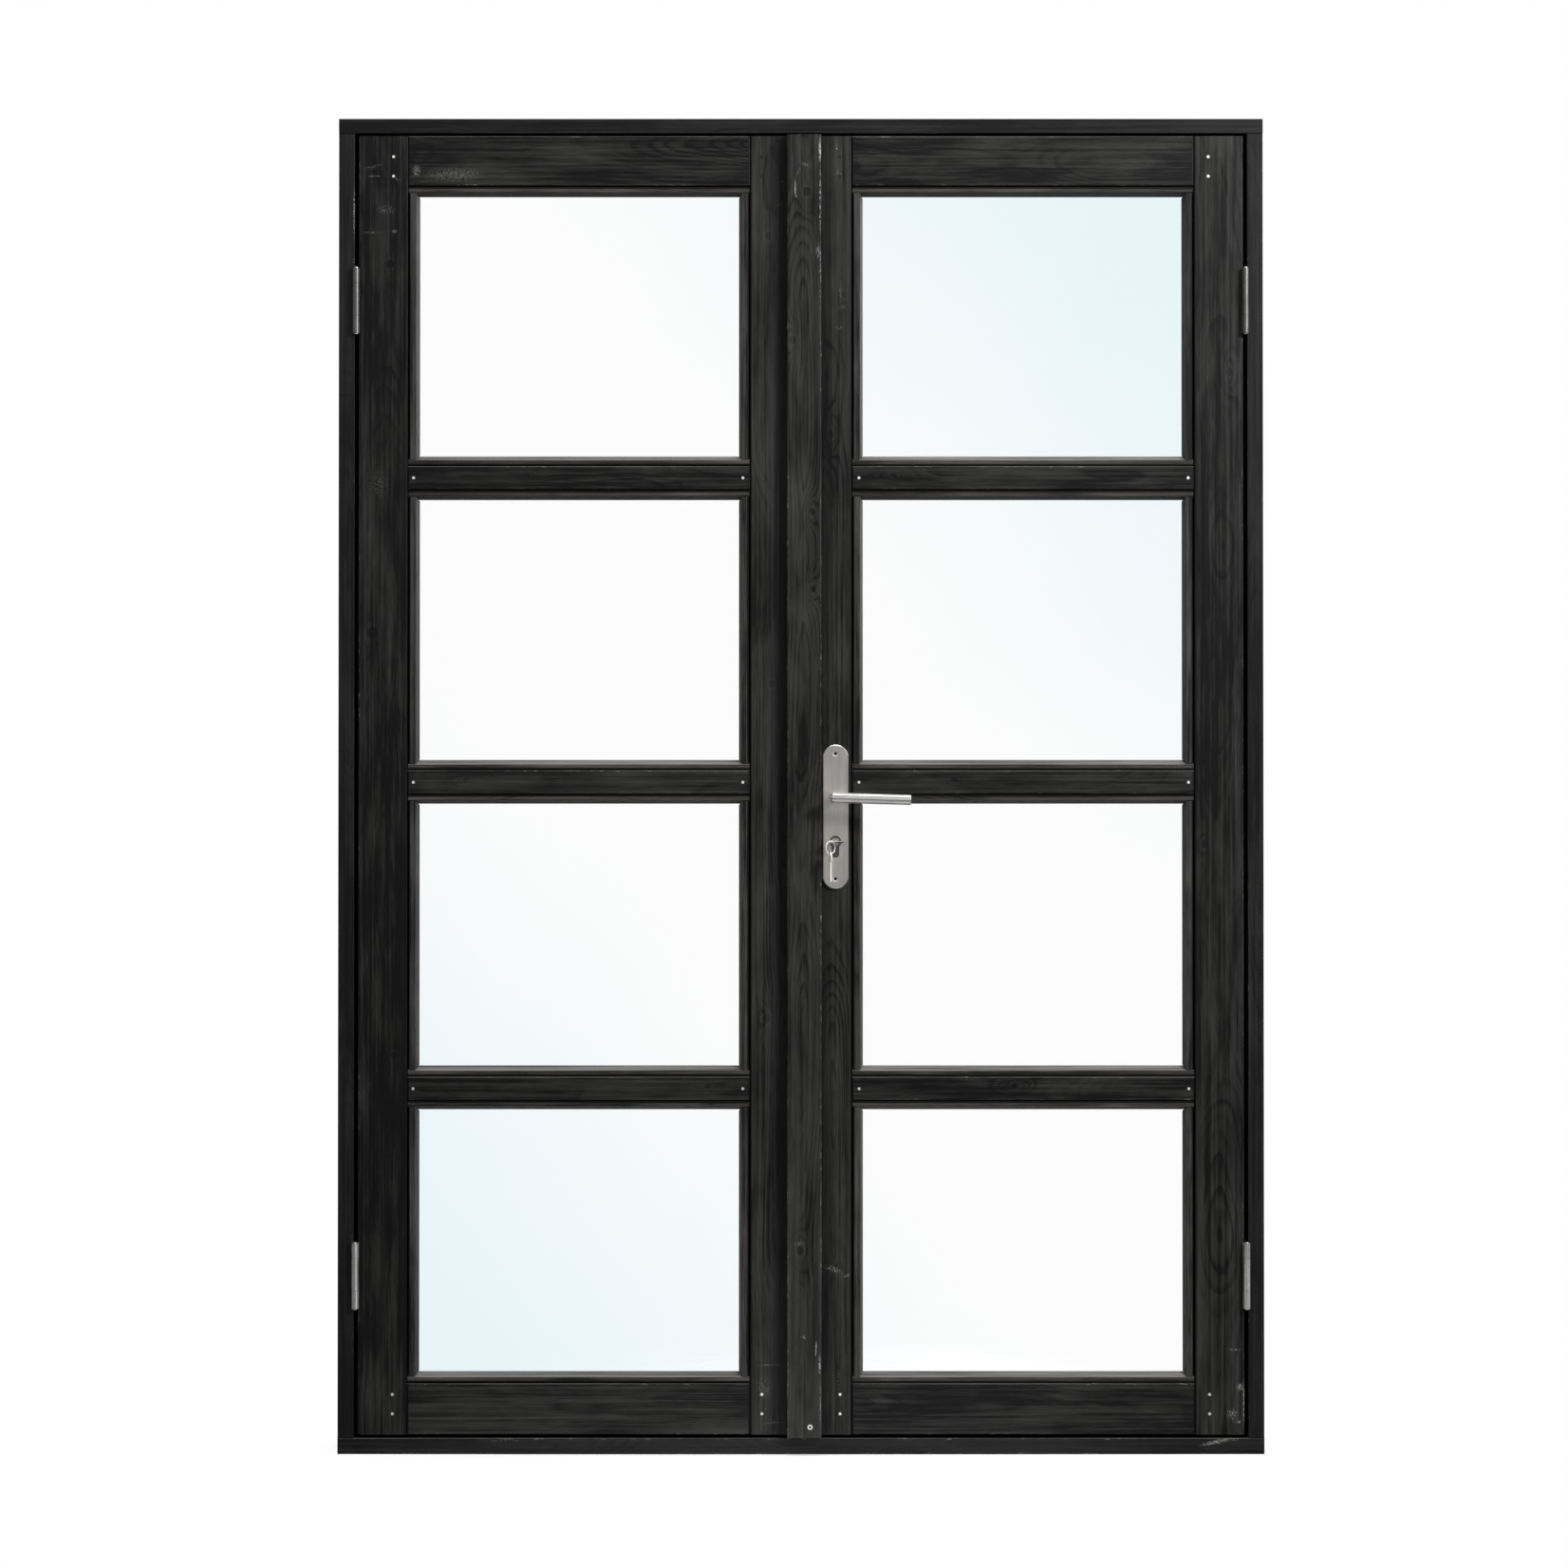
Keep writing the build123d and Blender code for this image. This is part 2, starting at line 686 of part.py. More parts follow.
    # glazing rails, halved over the stiles' rebates
    for where, zc in MID_RAILS.items():
        with BuildPart() as mid_rail:
            block(
                s * OPEN_IN,
                s * OPEN_OUT,
                FRONT,
                REBATE_Y,
                zc - MID_RAIL_FACE / 2,
                zc + MID_RAIL_FACE / 2,
            )
            fillet(mid_rail.edges().group_by(Axis.Y)[0], ARRIS - 0.5)
            block(
                s * (OPEN_IN + REBATE),
                s * (OPEN_OUT - REBATE),
                REBATE_Y,
                LEAF_BACK,
                zc - MID_RAIL_FACE / 2 - REBATE,
                zc + MID_RAIL_FACE / 2 + REBATE,
            )
            nails(s, 0.03, Mode.SUBTRACT)
        mid_rail.part.label = f"{name}_{where}_glazing_rail"
        export_step(mid_rail.part, f"parts/{name}_{where}_glazing_rail.step")

    # the four lights, from the bottom, as the heights of their rebates
    edges = [BOTTOM_RAIL_Z]
    for zc in sorted(MID_RAILS.values()):
        edges += [zc - MID_RAIL_FACE / 2, zc + MID_RAIL_FACE / 2]
    edges.append(TOP_RAIL_Z)
    lights = list(zip(edges[0::2], edges[1::2]))

    with BuildPart() as panes:
        for z0, z1 in lights:
            block(
                s * (OPEN_IN + 3), s * (OPEN_OUT - 3), GLASS_Y, REBATE_Y, z0 + 3, z1 - 3
            )
    panes.part.label = f"{name}_glass_panes"
    export_step(panes.part, f"parts/{name}_glass_panes.step")

    # beads across the lights: flat face, rounded outer arris, bevel to the glass
    with BuildPart() as beads_h:
        for z0, z1 in lights:
            for z, up in ((z0, 1), (z1, -1)):
                with BuildSketch(
                    Plane(
                        origin=(s * (OPEN_IN + 1) if s > 0 else s * (OPEN_OUT - 1), 0, z),
                        x_dir=(0, 1, 0),
                        z_dir=(1, 0, 0),
                    )
                ) as bead:
                    with BuildLine():
                        Polyline(
                            (GLASS_Y, up * BEAD_GAP_H),
                            (BEAD_Y, up * BEAD_GAP_H),
                            (BEAD_Y, up * BEAD_FACE),
                            (GLASS_Y, up * BEAD_FOOT),
                            close=True,
                        )
                    make_face()
                    front = bead.vertices().group_by(Axis.Y)[0].sort_by(Axis.Z)
                    if up < 0:
                        front = front[::-1]
                    fillet(front[0], 1.5)
                    fillet(
                        bead.vertices().filter_by(
                            lambda v: abs(v.Y - BEAD_Y) < 0.01
                            and abs(abs(v.Z - z) - BEAD_FACE) < 0.01
                        ),
                        0.8,
                    )
                extrude(amount=OPEN_OUT - OPEN_IN - 2)
    beads_h.part.label = f"{name}_beads_across"
    export_step(beads_h.part, f"parts/{name}_beads_across.step")

    # upright beads, cut at their ends to the bevel of the beads across
    slope = (BEAD_FOOT - BEAD_FACE) / (GLASS_Y - BEAD_Y)
    with BuildPart() as beads_v:
        for z0, z1 in lights:
            for x, inward in ((OPEN_IN, 1), (OPEN_OUT, -1)):
                with BuildSketch(Plane.XY.offset(z0 + 8)) as bead:
                    with BuildLine():
                        Polyline(
                            (s * (x + inward * BEAD_GAP_V), GLASS_Y),
                            (s * (x + inward * BEAD_GAP_V), BEAD_Y),
                            (s * (x + inward * BEAD_FACE_V), BEAD_Y),
                            (s * (x + inward * BEAD_FOOT_V), GLASS_Y),
                            close=True,
                        )
                    make_face()
                    fillet(
                        bead.vertices().filter_by(
                            lambda v: abs(v.Y - BEAD_Y) < 0.01
                            and abs(abs(abs(v.X) - x) - BEAD_GAP_V) < 0.01
                        ),
                        1.5,
                    )
                    fillet(
                        bead.vertices().filter_by(
                            lambda v: abs(v.Y - BEAD_Y) < 0.01
                            and abs(abs(abs(v.X) - x) - BEAD_FACE_V) < 0.01
                        ),
                        0.8,
                    )
                extrude(amount=z1 - z0 - 16)
        for z0, z1 in lights:
            for z, up in ((z0, 1), (z1, -1)):
                with BuildSketch(
                    Plane(
                        origin=(s * OPEN_IN if s > 0 else s * OPEN_OUT, 0, z),
                        x_dir=(0, 1, 0),
                        z_dir=(1, 0, 0),
                    )
                ):
                    with BuildLine():
                        Polyline(
                            (BEAD_Y - 1, 0),
                            (BEAD_Y - 1, up * (BEAD_FACE + 1.3 - slope)),
                            (GLASS_Y + 1, up * (BEAD_FOOT + 1.3 + slope)),
                            (GLASS_Y + 1, 0),
                            close=True,
                        )
                    make_face()
                extrude(amount=OPEN_OUT - OPEN_IN, mode=Mode.SUBTRACT)
    beads_v.part.label = f"{name}_beads_upright"
    export_step(beads_v.part, f"parts/{name}_beads_upright.step")

    with BuildPart() as leaf_nails:
        nails(s)
    leaf_nails.part.label = f"{name}_leaf_nails"
    export_step(leaf_nails.part, f"parts/{name}_leaf_nails.step")

# --------------------------------------------------- left leaf: strike, bolts
with BuildPart() as strike_plate:
    block(-LEAF_IN - 2.5, -LEAF_IN, LEAF_MID_Y - 10, LEAF_MID_Y + 10, 930, 1130)
    fillet(strike_plate.edges().filter_by(Axis.X), 4)
    for z0, z1 in ((LATCH_Z0, LATCH_Z1), (DEAD_Z0, DEAD_Z1)):
        block(
            -LEAF_IN - 3,
            -LEAF_IN + 1,
            LEAF_MID_Y - 7,
            LEAF_MID_Y + 7,
            z0 - 1,
            z1 + 1,
            Mode.SUBTRACT,
        )
    for z in (940, 1120):
        countersunk(
            (-LEAF_IN, LEAF_MID_Y, z), (-1, 0, 0), 4.0, 2.0, 30, 0.05, Mode.SUBTRACT
        )
strike_plate.part.label = "strike_plate"
export_step(strike_plate.part, "parts/strike_plate.step")

with BuildPart() as flush_plates:
    for z0, z1, up in FLUSH.values():
        tip, foot = (z1, z0) if up > 0 else (z0, z1)
        block(-LEAF_IN - 3, -LEAF_IN, LEAF_MID_Y - 10, LEAF_MID_Y + 10, z0, z1)
        slot = tip - up * 102
        block(
            -LEAF_IN - 4,
            -LEAF_IN + 1,
            LEAF_MID_Y - 3.5,
            LEAF_MID_Y + 3.5,
            slot - up * 2,
            slot + up * (12 + FLUSH_THROW + 2),
            Mode.SUBTRACT,
        )
        for z in (foot + up * 3.6, tip - up * 10):
            countersunk(
                (-LEAF_IN, LEAF_MID_Y + (6.5 if z == tip - up * 10 else 0), z),
                (-1, 0, 0),
                3.0,
                1.5,
                20,
                0.05,
                Mode.SUBTRACT,
            )
flush_plates.part.label = "flush_bolt_plates"
export_step(flush_plates.part, "parts/flush_bolt_plates.step")

for where, (z0, z1, up) in FLUSH.items():
    tip = z1 if up > 0 else z0
    with BuildPart() as flush_bolt:
        rod((FLUSH_X, LEAF_MID_Y, tip - up * 0.5), (0, 0, -up), FLUSH_R, 140)
        chamfer(
            flush_bolt.edges().filter_by(GeomType.CIRCLE).sort_by(Axis.Z)[
                -1 if up > 0 else 0
            ],
            1.0,
        )
        slot = tip - up * 102
        block(FLUSH_X, -LEAF_IN - 0.4, LEAF_MID_Y - 3, LEAF_MID_Y + 3, slot, slot + up * 12)
    flush_bolt.part.label = f"flush_bolt_{where}"
    export_step(flush_bolt.part, f"parts/flush_bolt_{where}.step")

with BuildPart() as left_screws:
    leaf_screw_holes(-1, Mode.ADD)
    for z in (940, 1120):
        countersunk((-LEAF_IN, LEAF_MID_Y, z), (-1, 0, 0), 4.0, 2.0, 30)
    for z0, z1, up in FLUSH.values():
        tip, foot = (z1, z0) if up > 0 else (z0, z1)
        for z in (foot + up * 3.6, tip - up * 10):
            countersunk(
                (-LEAF_IN, LEAF_MID_Y + (6.5 if z == tip - up * 10 else 0), z),
                (-1, 0, 0),
                3.0,
                1.5,
                20,
            )
left_screws.part.label = "left_leaf_screws"
export_step(left_screws.part, "parts/left_leaf_screws.step")

# ----------------------------------------------------- right leaf: cover strip
with BuildPart() as cover_strip:
    block(STRIP_L, STRIP_R, STRIP_FRONT, FRONT, STRIP_BOT, LEAF_TOP)
    fillet(cover_strip.edges().filter_by(Axis.Z).group_by(Axis.Y)[0], 2.0)
    # eased where it laps the left leaf
    block(STRIP_L - 1, 0, FRONT - 1.0, FRONT + 1, STRIP_BOT, LEAF_TOP, Mode.SUBTRACT)
    strip_screws(0.05, Mode.SUBTRACT)
cover_strip.part.label = "cover_strip"
export_step(cover_strip.part, "parts/cover_strip.step")

with BuildPart() as right_screws:
    leaf_screw_holes(1, Mode.ADD)
    strip_screws()
right_screws.part.label = "right_leaf_screws"
export_step(right_screws.part, "parts/right_leaf_screws.step")

# ----------------------------------------------------------------------- lock
with BuildPart() as lock_case:
    y0, y1 = LEAF_MID_Y - CASE_T / 2, LEAF_MID_Y + CASE_T / 2
    block(LEAF_IN + FOREND_T, CASE_X1, y0, y1, CASE_Z0, CASE_Z1)
    w = CASE_WALL
    block(
        LEAF_IN + FOREND_T,
        CASE_X1 - w,
        y0 + w,
        y1 - w,
        CASE_Z0 + w,
        CASE_Z1 - w,
        Mode.SUBTRACT,
    )
    rod((SPINDLE_X, y0, SPINDLE_Z), (0, 1, 0), 9.05, CASE_T, Mode.SUBTRACT)
    with BuildSketch(plane_xz(y0)):
        euro_sketch(0.4)
    extrude(amount=-CASE_T, mode=Mode.SUBTRACT)
lock_case.part.label = "lock_case"
export_step(lock_case.part, "parts/lock_case.step")

with BuildPart() as lock_forend:
    block(
        LEAF_IN,
        LEAF_IN + FOREND_T,
        LEAF_MID_Y - FOREND_W / 2,
        LEAF_MID_Y + FOREND_W / 2,
        FOREND_Z0,
        FOREND_Z1,
    )
    for z0, z1 in ((LATCH_Z0, LATCH_Z1), (DEAD_Z0, DEAD_Z1)):
        block(
            LEAF_IN - 1,
            LEAF_IN + FOREND_T + 1,
            LEAF_MID_Y - BOLT_T / 2 - 0.3,
            LEAF_MID_Y + BOLT_T / 2 + 0.3,
            z0 - 0.3,
            z1 + 0.3,
            Mode.SUBTRACT,
        )
    lock_screws(0.05, Mode.SUBTRACT)
lock_forend.part.label = "lock_forend"
export_step(lock_forend.part, "parts/lock_forend.step")

# latch: bevelled head, a tail over the hub and a lug that the hub's arm pushes
with BuildPart() as latch_bolt:
    with BuildSketch(Plane.XY.offset(LATCH_Z0)):
        with BuildLine():
            Polyline(
                (20, LEAF_MID_Y - BOLT_T / 2),
                (LEAF_IN - LATCH_THROW, LEAF_MID_Y - BOLT_T / 2),
                (LEAF_IN - LATCH_THROW, LEAF_MID_Y - BOLT_T / 2 + 2),
                (LEAF_IN - 0.5, LEAF_MID_Y + BOLT_T / 2),
                (20, LEAF_MID_Y + BOLT_T / 2),
                close=True,
            )
        make_face()
    extrude(amount=LATCH_Z1 - LATCH_Z0)
    block(20, 65, LEAF_MID_Y - 2, LEAF_MID_Y + 2, SPINDLE_Z + 21, SPINDLE_Z + 34)
    block(
        SPINDLE_X + 4.2, 64.5, LEAF_MID_Y - 2, LEAF_MID_Y + 2, SPINDLE_Z + 10, SPINDLE_Z + 22
    )
latch_bolt.part.label = "latch_bolt"
export_step(latch_bolt.part, "parts/latch_bolt.step")

with BuildPart() as deadbolt:
    block(
        LEAF_IN,
        40,
        LEAF_MID_Y - BOLT_T / 2,
        LEAF_MID_Y + BOLT_T / 2,
        DEAD_Z0,
        DEAD_Z1,
    )
    chamfer(deadbolt.faces().sort_by(Axis.X)[0].edges(), 0.8)
deadbolt.part.label = "deadbolt"
export_step(deadbolt.part, "parts/deadbolt.step")

with BuildPart() as lock_hub:
    rod((SPINDLE_X, LEAF_MID_Y - CASE_T / 2, SPINDLE_Z), (0, 1, 0), 9.0, CASE_T)
    block(
        SPINDLE_X - 3,
        SPINDLE_X + 3,
        LEAF_MID_Y - 4,
        LEAF_MID_Y + 4,
        SPINDLE_Z,
        SPINDLE_Z + 18,
    )
    block(
        SPINDLE_X - 4.05,
        SPINDLE_X + 4.05,
        LEAF_MID_Y - 10,
        LEAF_MID_Y + 10,
        SPINDLE_Z - 4.05,
        SPINDLE_Z + 4.05,
        Mode.SUBTRACT,
    )
lock_hub.part.label = "lock_hub"
export_step(lock_hub.part, "parts/lock_hub.step")

with BuildPart() as spindle:
    block(
        SPINDLE_X - 4,
        SPINDLE_X + 4,
        FRONT - 30,
        LEAF_BACK + 30,
        SPINDLE_Z - 4,
        SPINDLE_Z + 4,
    )
    chamfer(spindle.edges().filter_by(Axis.Y), 0.4)
spindle.part.label = "spindle"
export_step(spindle.part, "parts/spindle.step")

# levers: boss in the plate, round neck, and a round bar that falls a little
drop = radians(BAR_DROP)
for name, face, out in (("outer", FRONT, -1), ("inner", LEAF_BACK, 1)):
    with BuildPart() as lever:
        bar_z = SPINDLE_Z + (SPINDLE_X - BAR_X0) * tan(drop)
        rod(
            (BAR_X0, face + out * BAR_Y, bar_z),
            (cos(drop), 0, -sin(drop)),
            BAR_R,
            (BAR_X1 - BAR_X0) / cos(drop),
        )
        ends = lever.edges().filter_by(GeomType.CIRCLE).sort_by(Axis.X)
        fillet(ends[0], 5.0)
        fillet(
            lever.edges().filter_by(GeomType.CIRCLE).sort_by(Axis.X)[-1],
            0.7,
        )
        rod(
            (SPINDLE_X, face + out * 8.0, SPINDLE_Z),
            (0, out, 0),
            NECK_R,
            BAR_Y - 8.0 + 3.0,
        )
        rod((SPINDLE_X, face + out * 1.0, SPINDLE_Z), (0, out, 0), BOSS_R, 8.5)
        block(
            SPINDLE_X - 4.05,
            SPINDLE_X + 4.05,
            face - out * 1,
            face + out * 30.2,
            SPINDLE_Z - 4.05,
            SPINDLE_Z + 4.05,
            Mode.SUBTRACT,
        )
    lever.part.label = f"lever_{name}"
    export_step(lever.part, f"parts/lever_{name}.step")

# handle plates: nearly round ends and a bevelled edge
for name, face, out in (("outer", FRONT, -1), ("inner", LEAF_BACK, 1)):
    with BuildPart() as handle_plate:
        for rise, inset in ((0, 0), (HPLATE_T - 1.4, 0), (HPLATE_T, 1.4)):
            x0, x1 = SPINDLE_X - PLATE_W / 2 + inset, SPINDLE_X + PLATE_W / 2 - inset
            z0, z1 = PLATE_Z0 + PLATE_ARC, PLATE_Z1 - PLATE_ARC
            with BuildSketch(plane_xz(face + out * rise)):
                with BuildLine():
                    Line((x0, z0), (x0, z1))
                    ThreePointArc((x0, z1), (SPINDLE_X, PLATE_Z1 - inset), (x1, z1))
                    Line((x1, z1), (x1, z0))
                    ThreePointArc((x1, z0), (SPINDLE_X, PLATE_Z0 + inset), (x0, z0))
                make_face()
            if rise == 0:
                extrude(amount=-out * (HPLATE_T - 1.4))
        loft()
        rod(
            (SPINDLE_X, face, SPINDLE_Z),
            (0, out, 0),
            BOSS_R + 0.06,
            HPLATE_T,
            Mode.SUBTRACT,
        )
        with BuildSketch(plane_xz(min(face, face + out * HPLATE_T))):
            euro_sketch(0.25)
        extrude(amount=-HPLATE_T, mode=Mode.SUBTRACT)
        if out < 0:
            plate_screws(0.05, Mode.SUBTRACT)
            for z in SCREW_Z:
                rod(
                    (SPINDLE_X, FRONT - HPLATE_T, z),
                    (0, 1, 0),
                    4.35,
                    1.2,
                    Mode.SUBTRACT,
                )
        else:
            for z in SCREW_Z:
                rod((SPINDLE_X, LEAF_BACK, z), (0, 1, 0), 2.35, 4.0, Mode.SUBTRACT)
    handle_plate.part.label = f"handle_plate_{name}"
    export_step(handle_plate.part, f"parts/handle_plate_{name}.step")

with BuildPart() as handle_screws:
    plate_screws()
    lock_screws()
handle_screws.part.label = "lock_and_handle_screws"
export_step(handle_screws.part, "parts/lock_and_handle_screws.step")

# lock cylinder: body, a plug each side and the cam between them
CYL_Y0, CYL_Y1 = FRONT - HPLATE_T - 1.5, LEAF_BACK + HPLATE_T + 1.5
CAM_W = 10.0
with BuildPart() as cylinder_body:
    with BuildSketch(plane_xz(CYL_Y0)):
        euro_sketch()
    extrude(amount=-(CYL_Y1 - CYL_Y0))
    rod(
        (SPINDLE_X, CYL_Y0, CYL_Z), (0, 1, 0), PLUG_R + 0.05, CYL_Y1 - CYL_Y0, Mode.SUBTRACT
    )
    block(
        SPINDLE_X - 12,
        SPINDLE_X + 12,
        LEAF_MID_Y - CAM_W / 2 - 0.3,
        LEAF_MID_Y + CAM_W / 2 + 0.3,
        CYL_Z - 15.6,
        CYL_Z + 12,
        Mode.SUBTRACT,
    )
    lock_screws(0.05, Mode.SUBTRACT)
cylinder_body.part.label = "cylinder_body"
export_step(cylinder_body.part, "parts/cylinder_body.step")

with BuildPart() as cylinder_plug:
    rod((SPINDLE_X, CYL_Y0 - 0.3, CYL_Z), (0, 1, 0), PLUG_R, LEAF_MID_Y - CAM_W / 2 - CYL_Y0)
    block(
        SPINDLE_X - 4.6,
        SPINDLE_X + 4.6,
        CYL_Y0 - 1,
        LEAF_MID_Y - CAM_W / 2 + 1,
        CYL_Z - 1.3,
        CYL_Z + 1.3,
        Mode.SUBTRACT,
    )
    # a web at the plug's end keeps its two halves together
    rod(
        (SPINDLE_X, LEAF_MID_Y - CAM_W / 2 - 2.3, CYL_Z), (0, 1, 0), PLUG_R, 2.0
    )
cylinder_plug.part.label = "cylinder_plug"
export_step(cylinder_plug.part, "parts/cylinder_plug.step")

with BuildPart() as inner_plug:
    y = LEAF_MID_Y + CAM_W / 2
    rod((SPINDLE_X, y, CYL_Z), (0, 1, 0), PLUG_R, CYL_Y1 + 0.3 - y)
    block(
        SPINDLE_X - 4.6,
        SPINDLE_X + 4.6,
        y + 3,
        CYL_Y1 + 1,
        CYL_Z - 1.3,
        CYL_Z + 1.3,
        Mode.SUBTRACT,
    )
inner_plug.part.label = "cylinder_plug_inner"
export_step(inner_plug.part, "parts/cylinder_plug_inner.step")

with BuildPart() as cylinder_cam:
    rod((SPINDLE_X, LEAF_MID_Y - 4.7, CYL_Z), (0, 1, 0), 8.2, 9.4)
    block(
        SPINDLE_X - 3.5,
        SPINDLE_X + 3.5,
        LEAF_MID_Y - 4.7,
        LEAF_MID_Y + 4.7,
        CYL_Z - 14.6,
        CYL_Z,
    )
cylinder_cam.part.label = "cylinder_cam"
export_step(cylinder_cam.part, "parts/cylinder_cam.step")

# ----------------------------------------------------------------------- keys
turn = radians(RING_TURN)
ring_dir = (-sin(turn), -cos(turn))  # from the bow's middle to where the ring hangs
with BuildPart() as key:
    with BuildSketch(Plane.XY.offset(CYL_Z - BOW_T / 2)):
        with Locations((SPINDLE_X, BOW_Y)):
            Circle(BOW_R)
        with Locations((SPINDLE_X, (BOW_Y + BOW_R + CYL_Y0) / 2)):
            Rectangle(9.0, CYL_Y0 - BOW_Y - BOW_R + 6)
        with Locations((SPINDLE_X, (CYL_Y0 + LEAF_MID_Y - CAM_W / 2) / 2 - 3)):
            Rectangle(8.2, LEAF_MID_Y - CAM_W / 2 - CYL_Y0 - 4)
        with Locations(
            (
                SPINDLE_X + ring_dir[0] * BOW_HOLE_OFF,
                BOW_Y + ring_dir[1] * BOW_HOLE_OFF,
            )
        ):
            Circle(BOW_HOLE_R, mode=Mode.SUBTRACT)
    extrude(amount=BOW_T)
key.part.label = "key"
export_step(key.part, "parts/key.step")

rim = BOW_R - (BOW_R - BOW_HOLE_OFF - BOW_HOLE_R) / 2
ring_x = SPINDLE_X + ring_dir[0] * rim
ring_y = BOW_Y + ring_dir[1] * rim
ring_z = CYL_Z - RING_DROP
with BuildPart() as key_ring:
    with Locations(
        Plane(
            origin=(ring_x, ring_y, ring_z), z_dir=(ring_dir[1], -ring_dir[0], 0)
        ).location
    ):
        Torus(RING_R, RING_WIRE)
key_ring.part.label = "key_ring"
export_step(key_ring.part, "parts/key_ring.step")

# the second key hangs in the ring's lowest point, seen nearly edge-on
spare_z = ring_z - RING_R
spare_turn = radians(-10)
with BuildPart() as spare_key:
    with BuildSketch(
        Plane(
            origin=(ring_x, ring_y, spare_z),
            x_dir=(sin(spare_turn), cos(spare_turn), 0),
            z_dir=(cos(spare_turn), -sin(spare_turn), 0),
        )
    ):
        with Locations((0, -5.0)):
            Circle(9.0)
        with Locations((0, -17)):
            Rectangle(7.6, 10)
        with Locations((0, -30.6)):
            Rectangle(7.0, 27.2)
        Circle(2.4, mode=Mode.SUBTRACT)
    extrude(amount=1.0, both=True)
spare_key.part.label = "spare_key"
export_step(spare_key.part, "parts/spare_key.step")
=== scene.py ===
import math

import bpy
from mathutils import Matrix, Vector

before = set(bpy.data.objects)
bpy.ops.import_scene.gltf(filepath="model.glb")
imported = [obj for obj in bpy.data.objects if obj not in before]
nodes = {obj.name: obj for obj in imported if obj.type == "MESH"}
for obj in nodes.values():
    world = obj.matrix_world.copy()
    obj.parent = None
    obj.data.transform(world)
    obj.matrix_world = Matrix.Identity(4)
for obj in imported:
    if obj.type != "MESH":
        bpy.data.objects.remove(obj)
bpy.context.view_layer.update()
scene = bpy.context.scene

MM = 0.001
FRONT = -0.0475  # front face of the frame and leaves
BACK_LEAF = -0.0025

# ------------------------------------------------------------------ camera
cam_data = bpy.data.cameras.new("Camera")
cam_data.sensor_fit = "HORIZONTAL"
cam_data.sensor_width = 36.0
cam_data.lens = 71.29
cam_data.clip_end = 60.0
cam = bpy.data.objects.new("Camera", cam_data)
cam.location = (-0.0272, FRONT - 5.0, 1.15)
cam.rotation_euler = (math.radians(90.5), 0.0, 0.0)
cam_data.shift_y = -0.0462
scene.collection.objects.link(cam)
scene.camera = cam
scene.view_settings.view_transform = "Standard"
scene.view_settings.look = "None"
scene.view_settings.exposure = 0.0
scene.view_settings.gamma = 1.0


# ------------------------------------------------------- node-tree helpers
class Tree:
    """Short calls for building a shader node tree."""

    def __init__(self, tree):
        self.t = tree
        self.col = 0

    def node(self, kind, **props):
        n = self.t.nodes.new(kind)
        self.col += 1
        n.location = (180 * (self.col % 12), -220 * (self.col // 12))
        for k, v in props.items():
            setattr(n, k, v)
        return n

    def put(self, socket, value):
        if value is None:
            return
        if isinstance(value, bpy.types.NodeSocket):
            self.t.links.new(value, socket)
        elif isinstance(value, (tuple, list, Vector)):
            v = list(value)
            if len(v) == 3 and len(socket.default_value) == 4:
                v.append(1.0)
            socket.default_value = v
        else:
            socket.default_value = value

    def math(self, op, a, b=None, c=None, clamp=False):
        n = self.node("ShaderNodeMath", operation=op, use_clamp=clamp)
        for i, v in enumerate((a, b, c)):
            self.put(n.inputs[i], v)
        return n.outputs[0]

    def vmath(self, op, a, b=None, scale=None):
        n = self.node("ShaderNodeVectorMath", operation=op)
        self.put(n.inputs[0], a)
        self.put(n.inputs[1], b)
        if scale is not None:
            self.put(n.inputs["Scale"], scale)
        return n.outputs["Value" if op in ("LENGTH", "DISTANCE") else "Vector"]

    def sep(self, v):
        n = self.node("ShaderNodeSeparateXYZ")
        self.put(n.inputs[0], v)
        return n.outputs

    def comb(self, x, y, z):
        n = self.node("ShaderNodeCombineXYZ")
        for i, v in enumerate((x, y, z)):
            self.put(n.inputs[i], v)
        return n.outputs[0]

    def noise(self, vec, scale=1.0, detail=2.0, rough=0.5, distort=0.0):
        n = self.node("ShaderNodeTexNoise", noise_dimensions="3D")
        self.put(n.inputs["Vector"], vec)
        n.inputs["Scale"].default_value = scale
        n.inputs["Detail"].default_value = detail
        n.inputs["Roughness"].default_value = rough
        n.inputs["Distortion"].default_value = distort
        return n.outputs[0]

    def ramp(self, fac, lo, hi, out_lo=0.0, out_hi=1.0, smooth=True):
        n = self.node(
            "ShaderNodeMapRange",
            interpolation_type="SMOOTHSTEP" if smooth else "LINEAR",
        )
        if not smooth:
            n.clamp = True
        self.put(n.inputs["Value"], fac)
        n.inputs["From Min"].default_value = lo
        n.inputs["From Max"].default_value = hi
        n.inputs["To Min"].default_value = out_lo
        n.inputs["To Max"].default_value = out_hi
        return n.outputs[0]

    def mix(self, fac, a, b, kind="MIX"):
        n = self.node("ShaderNodeMix", data_type="RGBA", blend_type=kind)
        self.put(n.inputs[0], fac)
        self.put(n.inputs[6], a)
        self.put(n.inputs[7], b)
        return n.outputs[2]

    def bump(self, height, strength, distance, normal=None):
        n = self.node("ShaderNodeBump")
        n.inputs["Strength"].default_value = strength
        n.inputs["Distance"].default_value = distance
        self.put(n.inputs["Height"], height)
        if normal is not None:
            self.put(n.inputs["Normal"], normal)
        return n.outputs[0]


